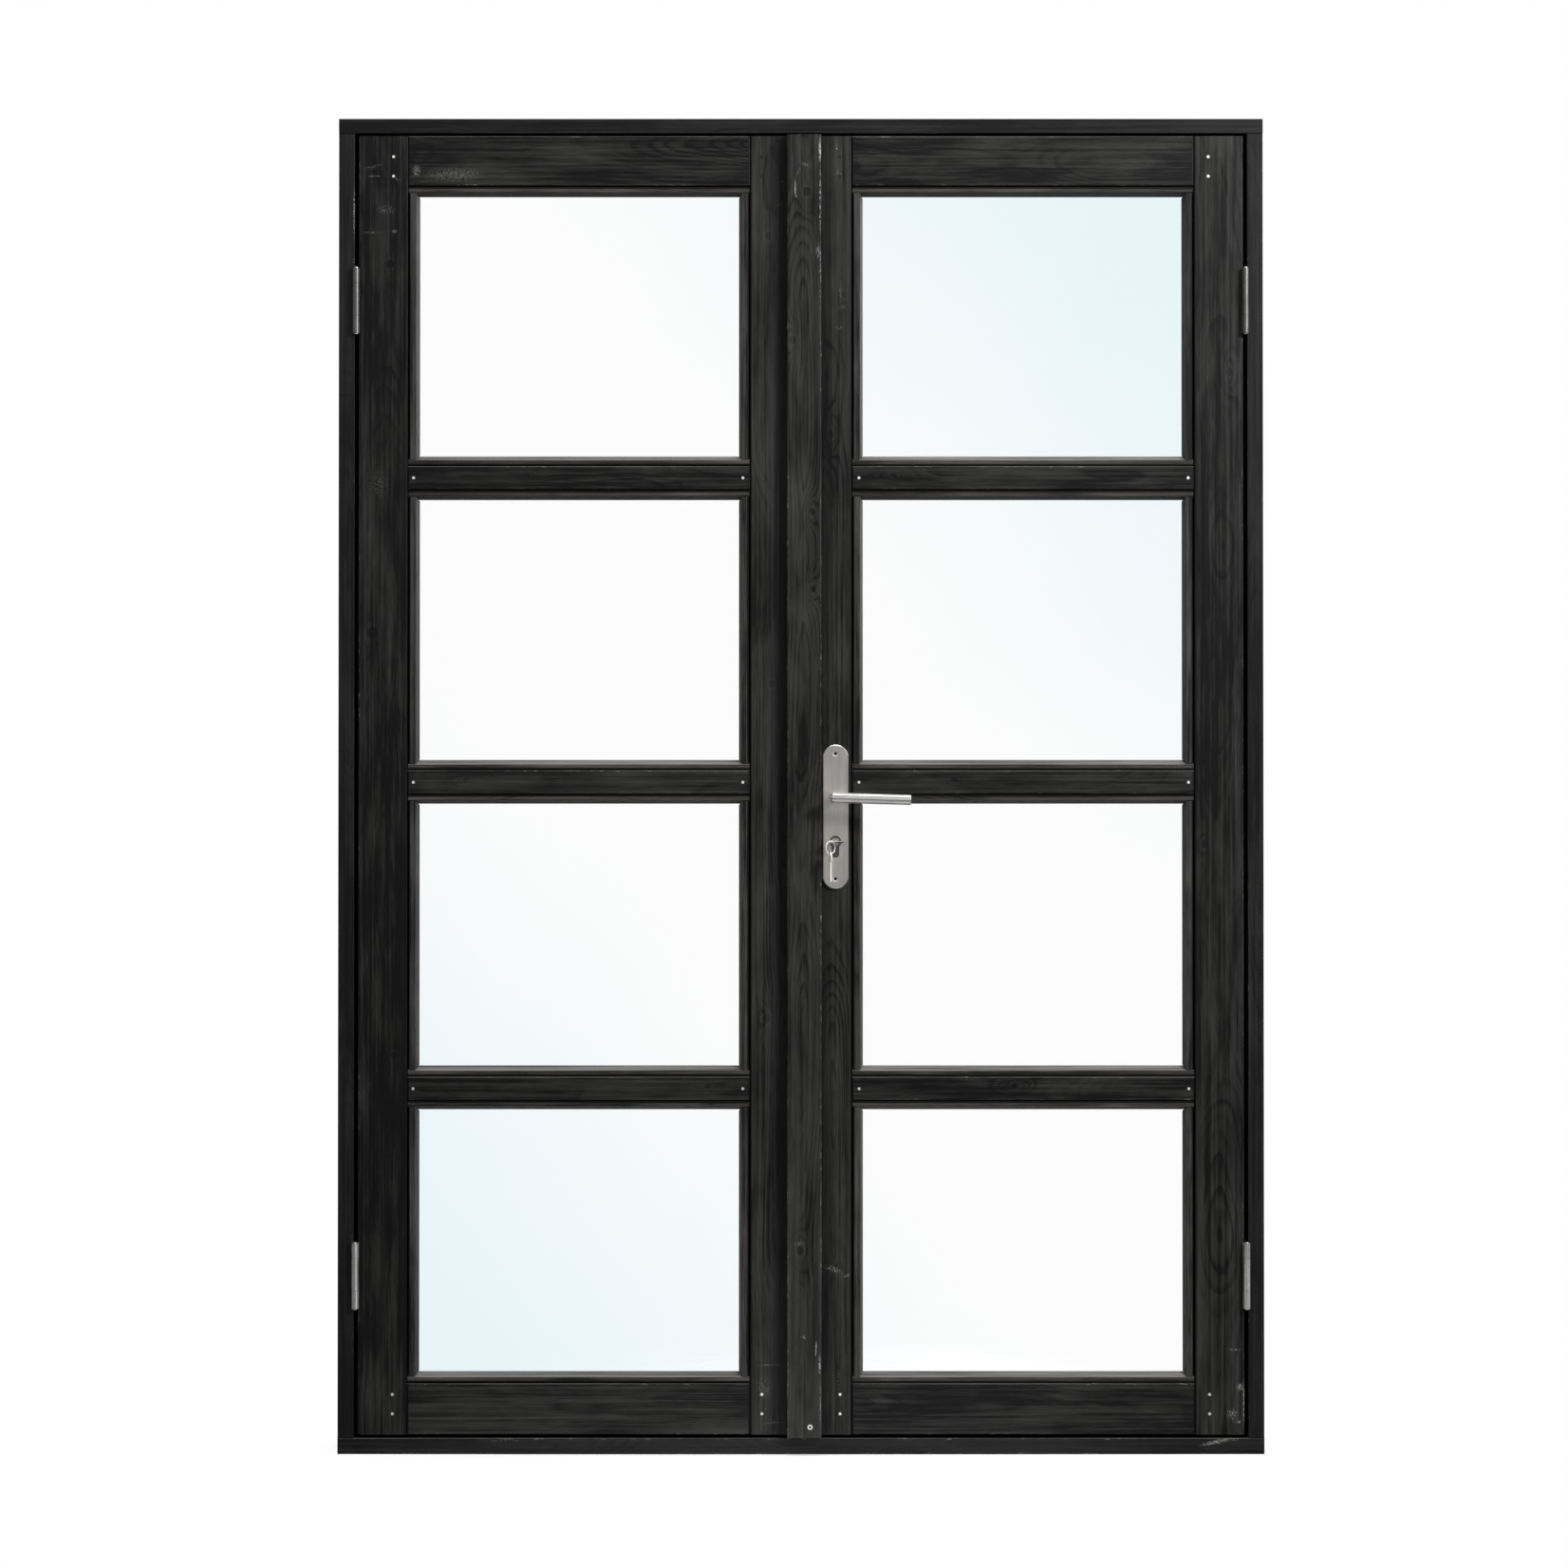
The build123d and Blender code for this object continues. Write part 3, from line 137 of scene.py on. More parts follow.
def group(name, inputs, outputs):
    g = bpy.data.node_groups.new(name, "ShaderNodeTree")
    for kind, label in inputs:
        g.interface.new_socket(label, in_out="INPUT", socket_type=kind)
    for kind, label in outputs:
        g.interface.new_socket(label, in_out="OUTPUT", socket_type=kind)
    t = Tree(g)
    gi = t.node("NodeGroupInput")
    go = t.node("NodeGroupOutput")
    return g, t, gi.outputs, go.inputs


FLOAT, VEC = "NodeSocketFloat", "NodeSocketVector"


# ------------------------------------------------------------ timber groups
# P is (across the board, into the board, along the board), in metres.
def figure_group():
    g, t, i, o = group(
        "TimberFigure",
        [
            (VEC, "P"),
            (VEC, "Seed"),
            (FLOAT, "Heart"),
            (FLOAT, "Tilt"),
            (FLOAT, "Spacing"),
            (FLOAT, "Knot bend"),
        ],
        [
            (FLOAT, "Late"),
            (FLOAT, "Fibre"),
            (FLOAT, "Streak"),
            (FLOAT, "Smear"),
            (FLOAT, "Blotch"),
            (FLOAT, "Nick"),
        ],
    )
    p, seed = i["P"], i["Seed"]
    ps = t.vmath("ADD", p, seed)
    wander = t.noise(t.vmath("MULTIPLY", ps, (5.0, 5.0, 1.1)), detail=1.0)
    depth = t.noise(
        t.vmath("ADD", t.vmath("MULTIPLY", ps, (2.0, 2.0, 1.7)), (7.3, 1.9, 4.4)),
        detail=2.0,
        rough=0.45,
    )
    fine = t.noise(t.vmath("MULTIPLY", ps, (70.0, 70.0, 9.0)), detail=2.0)
    x, y, z = t.sep(p)
    u = t.math("MULTIPLY_ADD", t.math("SUBTRACT", wander, 0.5), 0.10, x)
    d = t.math("MULTIPLY_ADD", t.math("SUBTRACT", depth, 0.5), 0.17, y)
    d = t.math("ADD", d, i["Heart"])
    d = t.math("ADD", d, t.math("MULTIPLY", z, i["Tilt"]))
    r = t.vmath("LENGTH", t.comb(u, d, 0.0))
    r = t.math("MULTIPLY_ADD", t.math("SUBTRACT", fine, 0.5), 0.0022, r)
    r = t.math("MULTIPLY_ADD", i["Knot bend"], 0.016, r)
    phase = t.math("DIVIDE", r, i["Spacing"])
    saw = t.math("FRACT", phase)
    late = t.math(
        "MULTIPLY", t.ramp(saw, 0.45, 0.9), t.ramp(saw, 1.0, 0.93, 0.0, 1.0)
    )
    # some rings are strong and some hardly show
    year = t.noise(
        t.comb(t.math("MULTIPLY", t.math("FLOOR", phase), 3.7), 0.0, 0.0), detail=0.0
    )
    late = t.math("MULTIPLY", late, t.ramp(year, 0.35, 0.65, 0.25, 1.0))
    zone = t.noise(t.vmath("MULTIPLY", ps, (9.0, 9.0, 2.2)), detail=1.0)
    late = t.math("MULTIPLY", late, t.ramp(zone, 0.36, 0.6, 0.12, 1.0))
    t.put(o["Late"], late)
    t.put(
        o["Fibre"],
        t.noise(
            t.vmath("MULTIPLY", ps, (1300.0, 1300.0, 26.0)), detail=2.0, rough=0.6
        ),
    )
    t.put(
        o["Streak"],
        t.noise(t.vmath("MULTIPLY", ps, (210.0, 210.0, 3.2)), detail=3.0, rough=0.62),
    )
    t.put(
        o["Smear"],
        t.noise(
            t.vmath("MULTIPLY", ps, (26.0, 26.0, 6.5)),
            detail=4.0,
            rough=0.62,
            distort=0.4,
        ),
    )
    t.put(
        o["Blotch"],
        t.noise(t.vmath("MULTIPLY", ps, (4.0, 4.0, 1.6)), detail=2.0, rough=0.5),
    )
    t.put(
        o["Nick"],
        t.noise(t.vmath("MULTIPLY", ps, (430.0, 430.0, 95.0)), detail=3.0, rough=0.7),
    )
    return g


def knot_group():
    g, t, i, o = group(
        "Knot",
        [(VEC, "P"), (FLOAT, "Across"), (FLOAT, "Along"), (FLOAT, "Radius")],
        [(FLOAT, "Bend"), (FLOAT, "Core"), (FLOAT, "Halo")],
    )
    x, y, z = t.sep(i["P"])
    wob = t.noise(t.vmath("MULTIPLY", i["P"], (130.0, 40.0, 90.0)), detail=2.0)
    du = t.math("SUBTRACT", x, i["Across"])
    dw = t.math("SUBTRACT", z, i["Along"])
    near = t.vmath("LENGTH", t.comb(du, 0.0, t.math("MULTIPLY", dw, 0.8)))
    near = t.math("DIVIDE", near, i["Radius"])
    near = t.math("MULTIPLY_ADD", t.math("SUBTRACT", wob, 0.5), 0.7, near)
    far = t.vmath("LENGTH", t.comb(du, 0.0, t.math("MULTIPLY", dw, 0.33)))
    far = t.math("DIVIDE", far, i["Radius"])
    bend = t.math("EXPONENT", t.math("MULTIPLY", t.math("MULTIPLY", far, far), -0.35))
    t.put(o["Bend"], bend)
    t.put(o["Core"], t.ramp(near, 1.0, 0.62))
    ring = t.math(
        "MULTIPLY", t.ramp(near, 0.85, 1.0), t.ramp(near, 1.75, 1.1, 0.0, 1.0)
    )
    t.put(o["Halo"], ring)
    return g


def scuff_group():
    """A worn patch: a soft ellipse, turned by Angle, broken up by noise."""
    g, t, i, o = group(
        "Scuff",
        [
            (VEC, "P"),
            (FLOAT, "Across"),
            (FLOAT, "Along"),
            (FLOAT, "Half across"),
            (FLOAT, "Half along"),
            (FLOAT, "Angle"),
            (FLOAT, "Break up"),
        ],
        [(FLOAT, "Mask")],
    )
    x, y, z = t.sep(i["P"])
    du = t.math("SUBTRACT", x, i["Across"])
    dw = t.math("SUBTRACT", z, i["Along"])
    c, s = t.math("COSINE", i["Angle"]), t.math("SINE", i["Angle"])
    a = t.math("ADD", t.math("MULTIPLY", du, c), t.math("MULTIPLY", dw, s))
    b = t.math("SUBTRACT", t.math("MULTIPLY", dw, c), t.math("MULTIPLY", du, s))
    e = t.vmath(
        "LENGTH",
        t.comb(
            t.math("DIVIDE", a, i["Half across"]),
            t.math("DIVIDE", b, i["Half along"]),
            0.0,
        ),
    )
    soft = t.ramp(e, 1.0, 0.2)
    n = t.noise(
        t.vmath("MULTIPLY", i["P"], (520.0, 520.0, 260.0)), detail=4.0, rough=0.7
    )
    lo = t.math("MULTIPLY", i["Break up"], 0.62)
    n = t.node("ShaderNodeMapRange", interpolation_type="SMOOTHSTEP").outputs[0]
    mr = n.node
    t.put(
        mr.inputs["Value"],
        t.noise(
            t.vmath("MULTIPLY", i["P"], (520.0, 520.0, 260.0)), detail=4.0, rough=0.7
        ),
    )
    t.put(mr.inputs["From Min"], lo)
    t.put(mr.inputs["From Max"], t.math("ADD", lo, 0.16))
    t.put(o["Mask"], t.math("MULTIPLY", soft, n))
    return g


FIGURE, KNOT, SCUFF = figure_group(), knot_group(), scuff_group()


def use(t, g, **values):
    n = t.node("ShaderNodeGroup")
    n.node_tree = g
    for k, v in values.items():
        t.put(n.inputs[k.replace("_", " ")], v)
    return n.outputs


def new_material(name):
    m = bpy.data.materials.new(name)
    m.use_nodes = True
    m.node_tree.nodes.clear()
    t = Tree(m.node_tree)
    out = t.node("ShaderNodeOutputMaterial")
    bsdf = t.node("ShaderNodeBsdfPrincipled")
    m.node_tree.links.new(bsdf.outputs[0], out.inputs[0])
    return m, t, bsdf, out


def timber(
    name,
    axis,
    centre,
    seed,
    dark=(0.0018, 0.0018, 0.0017),
    light=(0.0330, 0.0325, 0.0308),
    tone=0.0,
    figure=0.55,
    heart=0.03,
    tilt=0.02,
    spacing=0.0046,
    knots=(),
    scuffs=(),
    half=None,
    edge=0.35,
    ends=None,
    rough=0.5,
    smear=1.0,
    streak=1.0,
    groove=True,
    painted_bead_light_and_wear=0.0,
    seams=(),
    butts=(),
    painted_strip_shadow=(),
    caps=(),
    shine=0.18,
):
    """Black stained softwood, with its grain along axis.

    centre is (x, z) in mm; knots and scuffs are in mm on the picture's x, z.
    half is half the face width in mm, for the worn arris on each long edge.
    """
    m, t, bsdf, out = new_material(name)
    tc = t.node("ShaderNodeTexCoord")
    x, y, z = t.sep(tc.outputs["Object"])
    cx, cz = centre[0] * MM, centre[1] * MM
    lx = t.math("SUBTRACT", x, cx)
    lz = t.math("SUBTRACT", z, cz)
    ly = t.math("SUBTRACT", y, FRONT)
    p = t.comb(lx, ly, lz) if axis == "Z" else t.comb(lz, ly, lx)

    def local(px, pz):
        """Across and along, in metres, of a place given in mm."""
        a, b = (px - centre[0]) * MM, (pz - centre[1]) * MM
        return (a, b) if axis == "Z" else (b, a)

    bend = core = halo = None
    for kx, kz, kr in knots:
        a, b = local(kx, kz)
        k = use(t, KNOT, P=p, Across=a, Along=b, Radius=kr * MM)
        if bend is None:
            bend, core, halo = k["Bend"], k["Core"], k["Halo"]
        else:
            bend = t.math("ADD", bend, k["Bend"])
            core = t.math("MAXIMUM", core, k["Core"])
            halo = t.math("MAXIMUM", halo, k["Halo"])
    f = use(
        t,
        FIGURE,
        P=p,
        Seed=(seed * 3.17, seed * 1.31, seed * 5.93),
        Heart=heart,
        Tilt=tilt,
        Spacing=spacing,
        Knot_bend=bend if bend is not None else 0.0,
    )
    late = t.math("MULTIPLY", f["Late"], figure)

    # how much of the pale stain shows
    tone_in = t.math(
        "MULTIPLY_ADD", t.math("SUBTRACT", f["Streak"], 0.5), 2.3 * streak, 0.36 + tone
    )
    tone_in = t.math(
        "MULTIPLY_ADD", t.math("SUBTRACT", f["Smear"], 0.5), 2.0 * smear, tone_in
    )
    tone_in = t.math(
        "MULTIPLY_ADD", t.math("SUBTRACT", f["Blotch"], 0.5), 1.1 * smear, tone_in
    )
    tone_in = t.math(
        "MULTIPLY_ADD", t.math("SUBTRACT", f["Fibre"], 0.5), 1.1 * streak, tone_in
    )
    tone_in = t.math("MULTIPLY_ADD", late, -0.85, tone_in)
    if core is not None:
        tone_in = t.math("MULTIPLY_ADD", core, -0.22, tone_in)
        tone_in = t.math("MULTIPLY_ADD", halo, 0.14, tone_in)
    tone_in = t.math("MAXIMUM", t.math("MINIMUM", tone_in, 2.2), 0.0)
    colour = t.mix(tone_in, dark, light)
    m.node_tree.nodes[colour.node.name].clamp_factor = False

    # wear: thin pale lines on the long arrises, and named scuffs
    wear = None
    if half is not None:
        across = t.sep(p)[0]
        edge_d = t.math("SUBTRACT", half * MM, t.math("ABSOLUTE", across))
        line = t.ramp(edge_d, 0.0028, 0.0006)
        front = t.ramp(ly, 0.004, 0.001)
        nick = t.ramp(f["Nick"], 0.60 - 0.10 * edge, 0.74)
        run = t.ramp(f["Smear"], 0.44, 0.62, 0.12, 1.0)
        wear = t.math("MULTIPLY", t.math("MULTIPLY", line, front), nick)
        wear = t.math("MULTIPLY", wear, t.math("MULTIPLY", run, edge))
    for sx, sz, hx, hz, ang, amount, broken in scuffs:
        a, b = local(sx, sz)
        ha, hb = (hx, hz) if axis == "Z" else (hz, hx)
        th = math.radians(ang if axis == "Z" else -ang)
        s = use(
            t,
            SCUFF,
            P=p,
            Across=a,
            Along=b,
            Half_across=ha * MM,
            Half_along=hb * MM,
            Angle=th,
            Break_up=broken,
        )["Mask"]
        s = t.math("MULTIPLY", s, t.math("MULTIPLY", t.ramp(ly, 0.006, 0.003), amount))
        wear = s if wear is None else t.math("MAXIMUM", wear, s)
    if wear is not None:
        wear = t.math("MINIMUM", t.math("MULTIPLY", wear, 1.5), 1.0)
        colour = t.mix(wear, colour, (0.44, 0.43, 0.41))
    nx, ny, nz = t.sep(t.node("ShaderNodeNewGeometry").outputs["Normal"])
    up = t.ramp(nz, 0.2, 0.55)
    for e in butts:
        # painted shade: black over the open joint between stile and rail and its rounded arrises
        d = t.math("ABSOLUTE", t.math("SUBTRACT", x, e * MM))
        colour = t.mix(t.ramp(d, 0.0036, 0.0020, 0.0, 0.93), colour, (0.0006, 0.0006, 0.0006))
    for e in caps:
        # the jamb's joints with the head and the sill
        d = t.math("ABSOLUTE", t.math("SUBTRACT", z, e * MM))
        colour = t.mix(t.ramp(d, 0.0020, 0.0009, 0.0, 0.8), colour, (0.0010, 0.0010, 0.0010))
    for e0, e1, amount in painted_strip_shadow:
        # painted shadow: darker where the cover strip overlaps its neighbours and beside it, where its shadow falls
        colour = t.mix(t.ramp(x, e0 * MM, e1 * MM, 0.0, amount), colour, (0.0010, 0.0010, 0.0010))
    if groove:
        # painted shade: the grooves behind the rounded arris are coloured black
        groove_shade = t.math(
            "MULTIPLY", t.ramp(ly, 0.00003, 0.0004), t.ramp(ly, 0.0449, 0.0446, 0.0, 1.0)
        )
        # the upward-facing arris near the front is kept out of the painted shade
        keep = t.math("MULTIPLY", up, t.ramp(ly, 0.0022, 0.0014, 0.0, 1.0))
        groove_shade = t.math("MULTIPLY", groove_shade, t.math("SUBTRACT", 1.0, keep))
        colour = t.mix(t.math("MULTIPLY", groove_shade, 0.94), colour, (0.0008, 0.0008, 0.0008))
        # painted highlight, partly wear: pale streaks on the upward-facing arris near the front
        wear_and_highlight = t.math("MULTIPLY", keep, t.ramp(ly, 0.00003, 0.0005))
        wear_and_highlight = t.math("MULTIPLY", wear_and_highlight, t.ramp(f["Streak"], 0.35, 0.6, 0.25, 0.8))
        colour = t.mix(wear_and_highlight, colour, (0.085, 0.083, 0.079))
    if painted_bead_light_and_wear:
        # painted shade and light: black where the bead meets its rail or stile and on its side faces, lighter on faces
        # that lean sideways and down, and pale on the upward bevel above it, partly wear
        joint = None
        for e in seams:
            d = t.math("ABSOLUTE", t.math("SUBTRACT", z if axis == "X" else x, e * MM))
            j = t.ramp(d, 0.0050, 0.0034)
            joint = j if joint is None else t.math("MAXIMUM", joint, j)
        # painted shade: the side faces of the bead, and the band beside each joint, are coloured black
        side = t.ramp(t.math("ABSOLUTE", ny), 0.22, 0.08)
        if joint is not None:
            side = t.math("MAXIMUM", side, joint)
        # painted light: faces that lean sideways and faces that face down are coloured lighter
        painted_side_and_under_light = t.math("MAXIMUM", t.ramp(t.math("ABSOLUTE", nx), 0.15, 0.5, 0.0, 0.35), t.ramp(nz, -0.2, -0.55, 0.0, 0.75))
        colour = t.mix(painted_side_and_under_light, colour, (0.062, 0.057, 0.053))
        # painted highlight, partly wear: pale streaks on the upward bevels
        wear_and_highlight = t.math("MULTIPLY", up, t.math("SUBTRACT", 1.0, side))
        wear_and_highlight = t.math("MULTIPLY", wear_and_highlight, t.ramp(f["Streak"], 0.36, 0.62, 0.3, 1.0))
        colour = t.mix(t.math("MULTIPLY", wear_and_highlight, painted_bead_light_and_wear), colour, (0.215, 0.211, 0.203))
        # painted shade: black on the side faces and beside the joints
        colour = t.mix(t.math("MULTIPLY", side, 0.95), colour, (0.0006, 0.0006, 0.0006))
    t.put(bsdf.inputs["Base Color"], colour)

    r = t.math(
        "MULTIPLY_ADD", t.math("SUBTRACT", f["Streak"], 0.5), 0.30, rough
    )
    r = t.math("MULTIPLY_ADD", late, -0.06, r)
    if wear is not None:
        r = t.math("MULTIPLY_ADD", wear, 0.25, r)
    t.put(bsdf.inputs["Roughness"], t.math("MINIMUM", r, 0.9))
    h = t.math("MULTIPLY", f["Fibre"], 0.35)
    h = t.math("MULTIPLY_ADD", f["Streak"], 0.55, h)
    h = t.math("MULTIPLY_ADD", late, 0.35, h)
    if core is not None:
        h = t.math("MULTIPLY_ADD", core, -0.5, h)
    t.put(bsdf.inputs["Normal"], t.bump(h, 0.5, 0.0006))
    bsdf.inputs["Specular IOR Level"].default_value = shine
    return m


# ------------------------------------------------------------------- metals
def metal(
    name,
    colour,
    rough,
    brush=None,
    brush_scale=1400.0,
    brush_along=14.0,
    var=0.12,
    bump=0.15,
    dirt=0.0,
    crosses=(),
    cross=None,
    aniso=0.0,
    painted_cylinder_shade=False,
    painted_shading=None,
    streaks=(),
    lower_light_gain=0.0,
    painted=False,
    metallic=1.0,
):
    """brush is the axis that the polishing lines follow: X, Y or Z."""
    m, t, bsdf, out = new_material(name)
    tc = t.node("ShaderNodeTexCoord")
    p = tc.outputs["Object"]
    s = [brush_scale] * 3
    if brush:
        s["XYZ".index(brush)] = brush_along
    lines = t.noise(t.vmath("MULTIPLY", p, tuple(s)), detail=3.0, rough=0.65)
    s2 = [v * 0.12 for v in s]
    if brush:
        s2["XYZ".index(brush)] = brush_along * 0.5
    bands = t.noise(t.vmath("MULTIPLY", p, tuple(s2)), detail=2.0)
    cloud = t.noise(p, scale=38.0, detail=3.0)
    k = t.math("MULTIPLY_ADD", t.math("SUBTRACT", lines, 0.5), var * 2.2, 1.0)
    k = t.math("MULTIPLY_ADD", t.math("SUBTRACT", bands, 0.5), var * 1.6, k)
    k = t.math("MULTIPLY_ADD", t.math("SUBTRACT", cloud, 0.5), var, k)
    col = t.mix(1.0, colour, t.comb(k, k, k), "MULTIPLY")
    if dirt:
        spot = t.ramp(
            t.noise(p, scale=160.0, detail=4.0, rough=0.65), 0.52, 0.7, 0.0, dirt
        )
        col = t.mix(spot, col, (0.05, 0.045, 0.04))
    if lower_light_gain:
        # painted light: the colour is made lighter below 1.2 m, by the full gain at 0.8 m and lower
        low = t.ramp(t.sep(p)[2], 1.2, 0.8, 1.0, lower_light_gain)
        col = t.mix(1.0, col, t.comb(low, low, low), "MULTIPLY")
    if painted:
        # these heads were stained over with the timber
        x, y, z = t.sep(p)
        m2 = t.math("MULTIPLY", t.ramp(z, 2.00, 2.01), t.ramp(t.math("ABSOLUTE", x), 0.110, 0.100))
        col = t.mix(m2, col, (0.035, 0.035, 0.034))
    for angle, wide, amount in streaks:
        # long dark reflections that lie along a round bar
        n = t.sep(t.node("ShaderNodeNewGeometry").outputs["Normal"])
        d = t.math("ABSOLUTE", t.math("SUBTRACT", n[2], angle))
        col = t.mix(t.ramp(d, wide, wide * 0.35, 0.0, amount), col, (0.045, 0.043, 0.040))
    height = lines
    if crosses:
        # painted shade: the recess in each screw head is a dark cross, or a dark round spot when cross is round, read
        # from its place
        x, y, z = t.sep(p)
        mask = None
        for c in crosses:
            (ax, bx), (cxv, czv), size = c
            va = {"X": x, "Y": y, "Z": z}
            da = t.math("ABSOLUTE", t.math("SUBTRACT", va[ax], cxv * MM))
            db = t.math("ABSOLUTE", t.math("SUBTRACT", va[bx], czv * MM))
            arm1 = t.math(
                "MULTIPLY",
                t.ramp(da, size * 0.16 * MM, size * 0.10 * MM),
                t.ramp(db, size * 0.62 * MM, size * 0.52 * MM),
            )
            arm2 = t.math(
                "MULTIPLY",
                t.ramp(db, size * 0.16 * MM, size * 0.10 * MM),
                t.ramp(da, size * 0.62 * MM, size * 0.52 * MM),
            )
            both = t.math("MAXIMUM", arm1, arm2)
            if cross == "round":
                both = t.ramp(
                    t.vmath("LENGTH", t.comb(da, db, 0.0)), size * MM, size * 0.8 * MM
                )
            mask = both if mask is None else t.math("MAXIMUM", mask, both)
        col = t.mix(mask, col, (0.012, 0.012, 0.012))
        height = t.math("MULTIPLY_ADD", mask, -6.0, lines)
    if painted_shading:
        # painted light and shade: faces turned up and to the left keep their colour and the others are darkened, as
        # polished round work would hold the light sky above and the dark doors below
        n = t.sep(t.node("ShaderNodeNewGeometry").outputs["Normal"])
        lit = t.math("MULTIPLY_ADD", n[0], painted_shading[0], t.math("MULTIPLY", n[2], painted_shading[1]))
        col = t.mix(t.ramp(lit, -0.15, 0.55), t.mix(1.0, col, (0.05, 0.048, 0.045), "MULTIPLY"), col)
    if painted_cylinder_shade:
        # painted shade: a dark line in the joint round the lock cylinder
        x, y, z = t.sep(p)
        dx = t.math("SUBTRACT", x, 0.0555)
        body = t.vmath("LENGTH", t.comb(dx, t.math("SUBTRACT", z, 0.9844), 0.0))
        low = t.math("MAXIMUM", t.math("SUBTRACT", 0.9844, z), 0.0)
        low = t.math("MAXIMUM", t.math("SUBTRACT", low, 0.0199), 0.0)
        foot = t.vmath("LENGTH", t.comb(dx, low, 0.0))
        below = t.ramp(z, 0.9845, 0.9835)
        foot = t.math("ADD", foot, t.math("MULTIPLY", t.math("SUBTRACT", 1.0, below), 1.0))
        gap = t.math(
            "MINIMUM", t.math("SUBTRACT", body, 0.0085), t.math("SUBTRACT", foot, 0.005)
        )
        col = t.mix(t.ramp(gap, 0.0013, 0.0006, 0.0, 0.9), col, (0.03, 0.028, 0.026))
    t.put(bsdf.inputs["Base Color"], col)
    rr = t.math("MULTIPLY_ADD", t.math("SUBTRACT", lines, 0.5), 0.22, rough)
    rr = t.math("MULTIPLY_ADD", t.math("SUBTRACT", cloud, 0.5), 0.12, rr)
    t.put(bsdf.inputs["Roughness"], t.math("MAXIMUM", rr, 0.08))
    bsdf.inputs["Metallic"].default_value = metallic
    if aniso:
        bsdf.inputs["Anisotropic"].default_value = aniso
    t.put(bsdf.inputs["Normal"], t.bump(height, bump, 0.00025))
    return m


def glass_material():
    m = bpy.data.materials.new("Clear pane")
    m.use_nodes = True
    m.node_tree.nodes.clear()
    t = Tree(m.node_tree)
    out = t.node("ShaderNodeOutputMaterial")
    tc = t.node("ShaderNodeTexCoord")
    p = tc.outputs["Object"]
    x, y, z = t.sep(p)
    # painted reflection: a faint cold tint, stronger towards two corners, where the sky's reflection lies on clean
    # panes
    slant = t.math("MULTIPLY_ADD", t.math("SUBTRACT", z, 1.05), 0.8, t.math("MULTIPLY", x, 0.9))
    reflection_breakup = t.noise(t.vmath("MULTIPLY", p, (2.6, 1.0, 2.0)), detail=3.0)
    amount = t.math(
        "MULTIPLY_ADD", t.math("SUBTRACT", reflection_breakup, 0.5), 0.3, t.math("ABSOLUTE", slant)
    )
    tint = t.mix(t.ramp(amount, 0.3, 1.3), (1.0, 1.0, 1.0), (0.905, 0.965, 0.985))
    clear = t.node("ShaderNodeBsdfTransparent")
    t.put(clear.inputs[0], tint)
    shine = t.node("ShaderNodeBsdfGlossy")
    shine.inputs["Color"].default_value = (0.95, 0.98, 1.0, 1.0)
    shine.inputs["Roughness"].default_value = 0.02
    fres = t.node("ShaderNodeFresnel")
    fres.inputs["IOR"].default_value = 1.33
    mix = t.node("ShaderNodeMixShader")
    m.node_tree.links.new(fres.outputs[0], mix.inputs[0])
    m.node_tree.links.new(clear.outputs[0], mix.inputs[1])
    m.node_tree.links.new(shine.outputs[0], mix.inputs[2])
    m.node_tree.links.new(mix.outputs[0], out.inputs[0])
    return m


def rubber_material():
    m, t, bsdf, out = new_material("Seal rubber")
    tc = t.node("ShaderNodeTexCoord")
    p = tc.outputs["Object"]
    n = t.noise(p, scale=900.0, detail=3.0)
    dust = t.ramp(t.noise(p, scale=45.0, detail=3.0), 0.5, 0.75, 0.0, 0.5)
    col = t.mix(dust, (0.012, 0.012, 0.012), (0.05, 0.05, 0.048))
    t.put(bsdf.inputs["Base Color"], col)
    t.put(
        bsdf.inputs["Roughness"], t.math("MULTIPLY_ADD", dust, 0.3, 0.55)
    )
    t.put(bsdf.inputs["Normal"], t.bump(n, 0.25, 0.0003))
    bsdf.inputs["Specular IOR Level"].default_value = 0.35
    return m


def give(node, material):
    ob = nodes[node]
    if not ob.material_slots:
        ob.data.materials.append(material)
    for s in ob.material_slots:
        s.material = material


# ----------------------------------------------------------- timber, by board
FRAME_DARK, FRAME_LIGHT = (0.0035, 0.0035, 0.0034), (0.0235, 0.0235, 0.0228)
BEAD_DARK, BEAD_LIGHT = (0.0070, 0.0068, 0.0066), (0.072, 0.067, 0.062)

give(
    "frame_head",
    timber("Head timber", "X", (0, 2138), 1, FRAME_DARK, FRAME_LIGHT, -0.14, 0.3, half=12.5, edge=0.2, smear=0.6, streak=0.7),
)
give(
    "frame_sill",
    timber(
        "Sill timber", "X", (0, 13), 2, FRAME_DARK, FRAME_LIGHT, 0.0, 0.3, half=12.5, edge=0.55, smear=0.6, streak=0.7,
        scuffs=[(668, 20, 34, 4.5, 12, 0.55, 0.72), (695, 24, 12, 4, 0, 0.5, 0.8), (-480, 22, 60, 2.2, 0, 0.35, 0.85)],
    ),
)
give(
    "jamb_left",
    timber(
        "Left jamb timber", "Z", (-732, 1075), 3, FRAME_DARK, FRAME_LIGHT, -0.14, 0.35, half=12.8, caps=(26.0, 2126.0), edge=0.25, smear=0.6, streak=0.7,
        scuffs=[(-720.2, 1998, 1.4, 52, 0, 0.85, 0.72), (-721, 1918, 2.6, 8, 0, 0.6, 0.85), (-722, 345, 3, 7, 0, 0.5, 0.85)],
    ),
)
give(
    "jamb_right",
    timber(
        "Right jamb timber", "Z", (732, 1075), 4, FRAME_DARK, FRAME_LIGHT, -0.10, 0.35, half=12.8, caps=(26.0, 2126.0), edge=0.25, smear=0.6, streak=0.7,
        scuffs=[(721, 1925, 2.4, 9, 0, 0.5, 0.85), (721, 214, 2.2, 7, 0, 0.5, 0.85)],
    ),
)

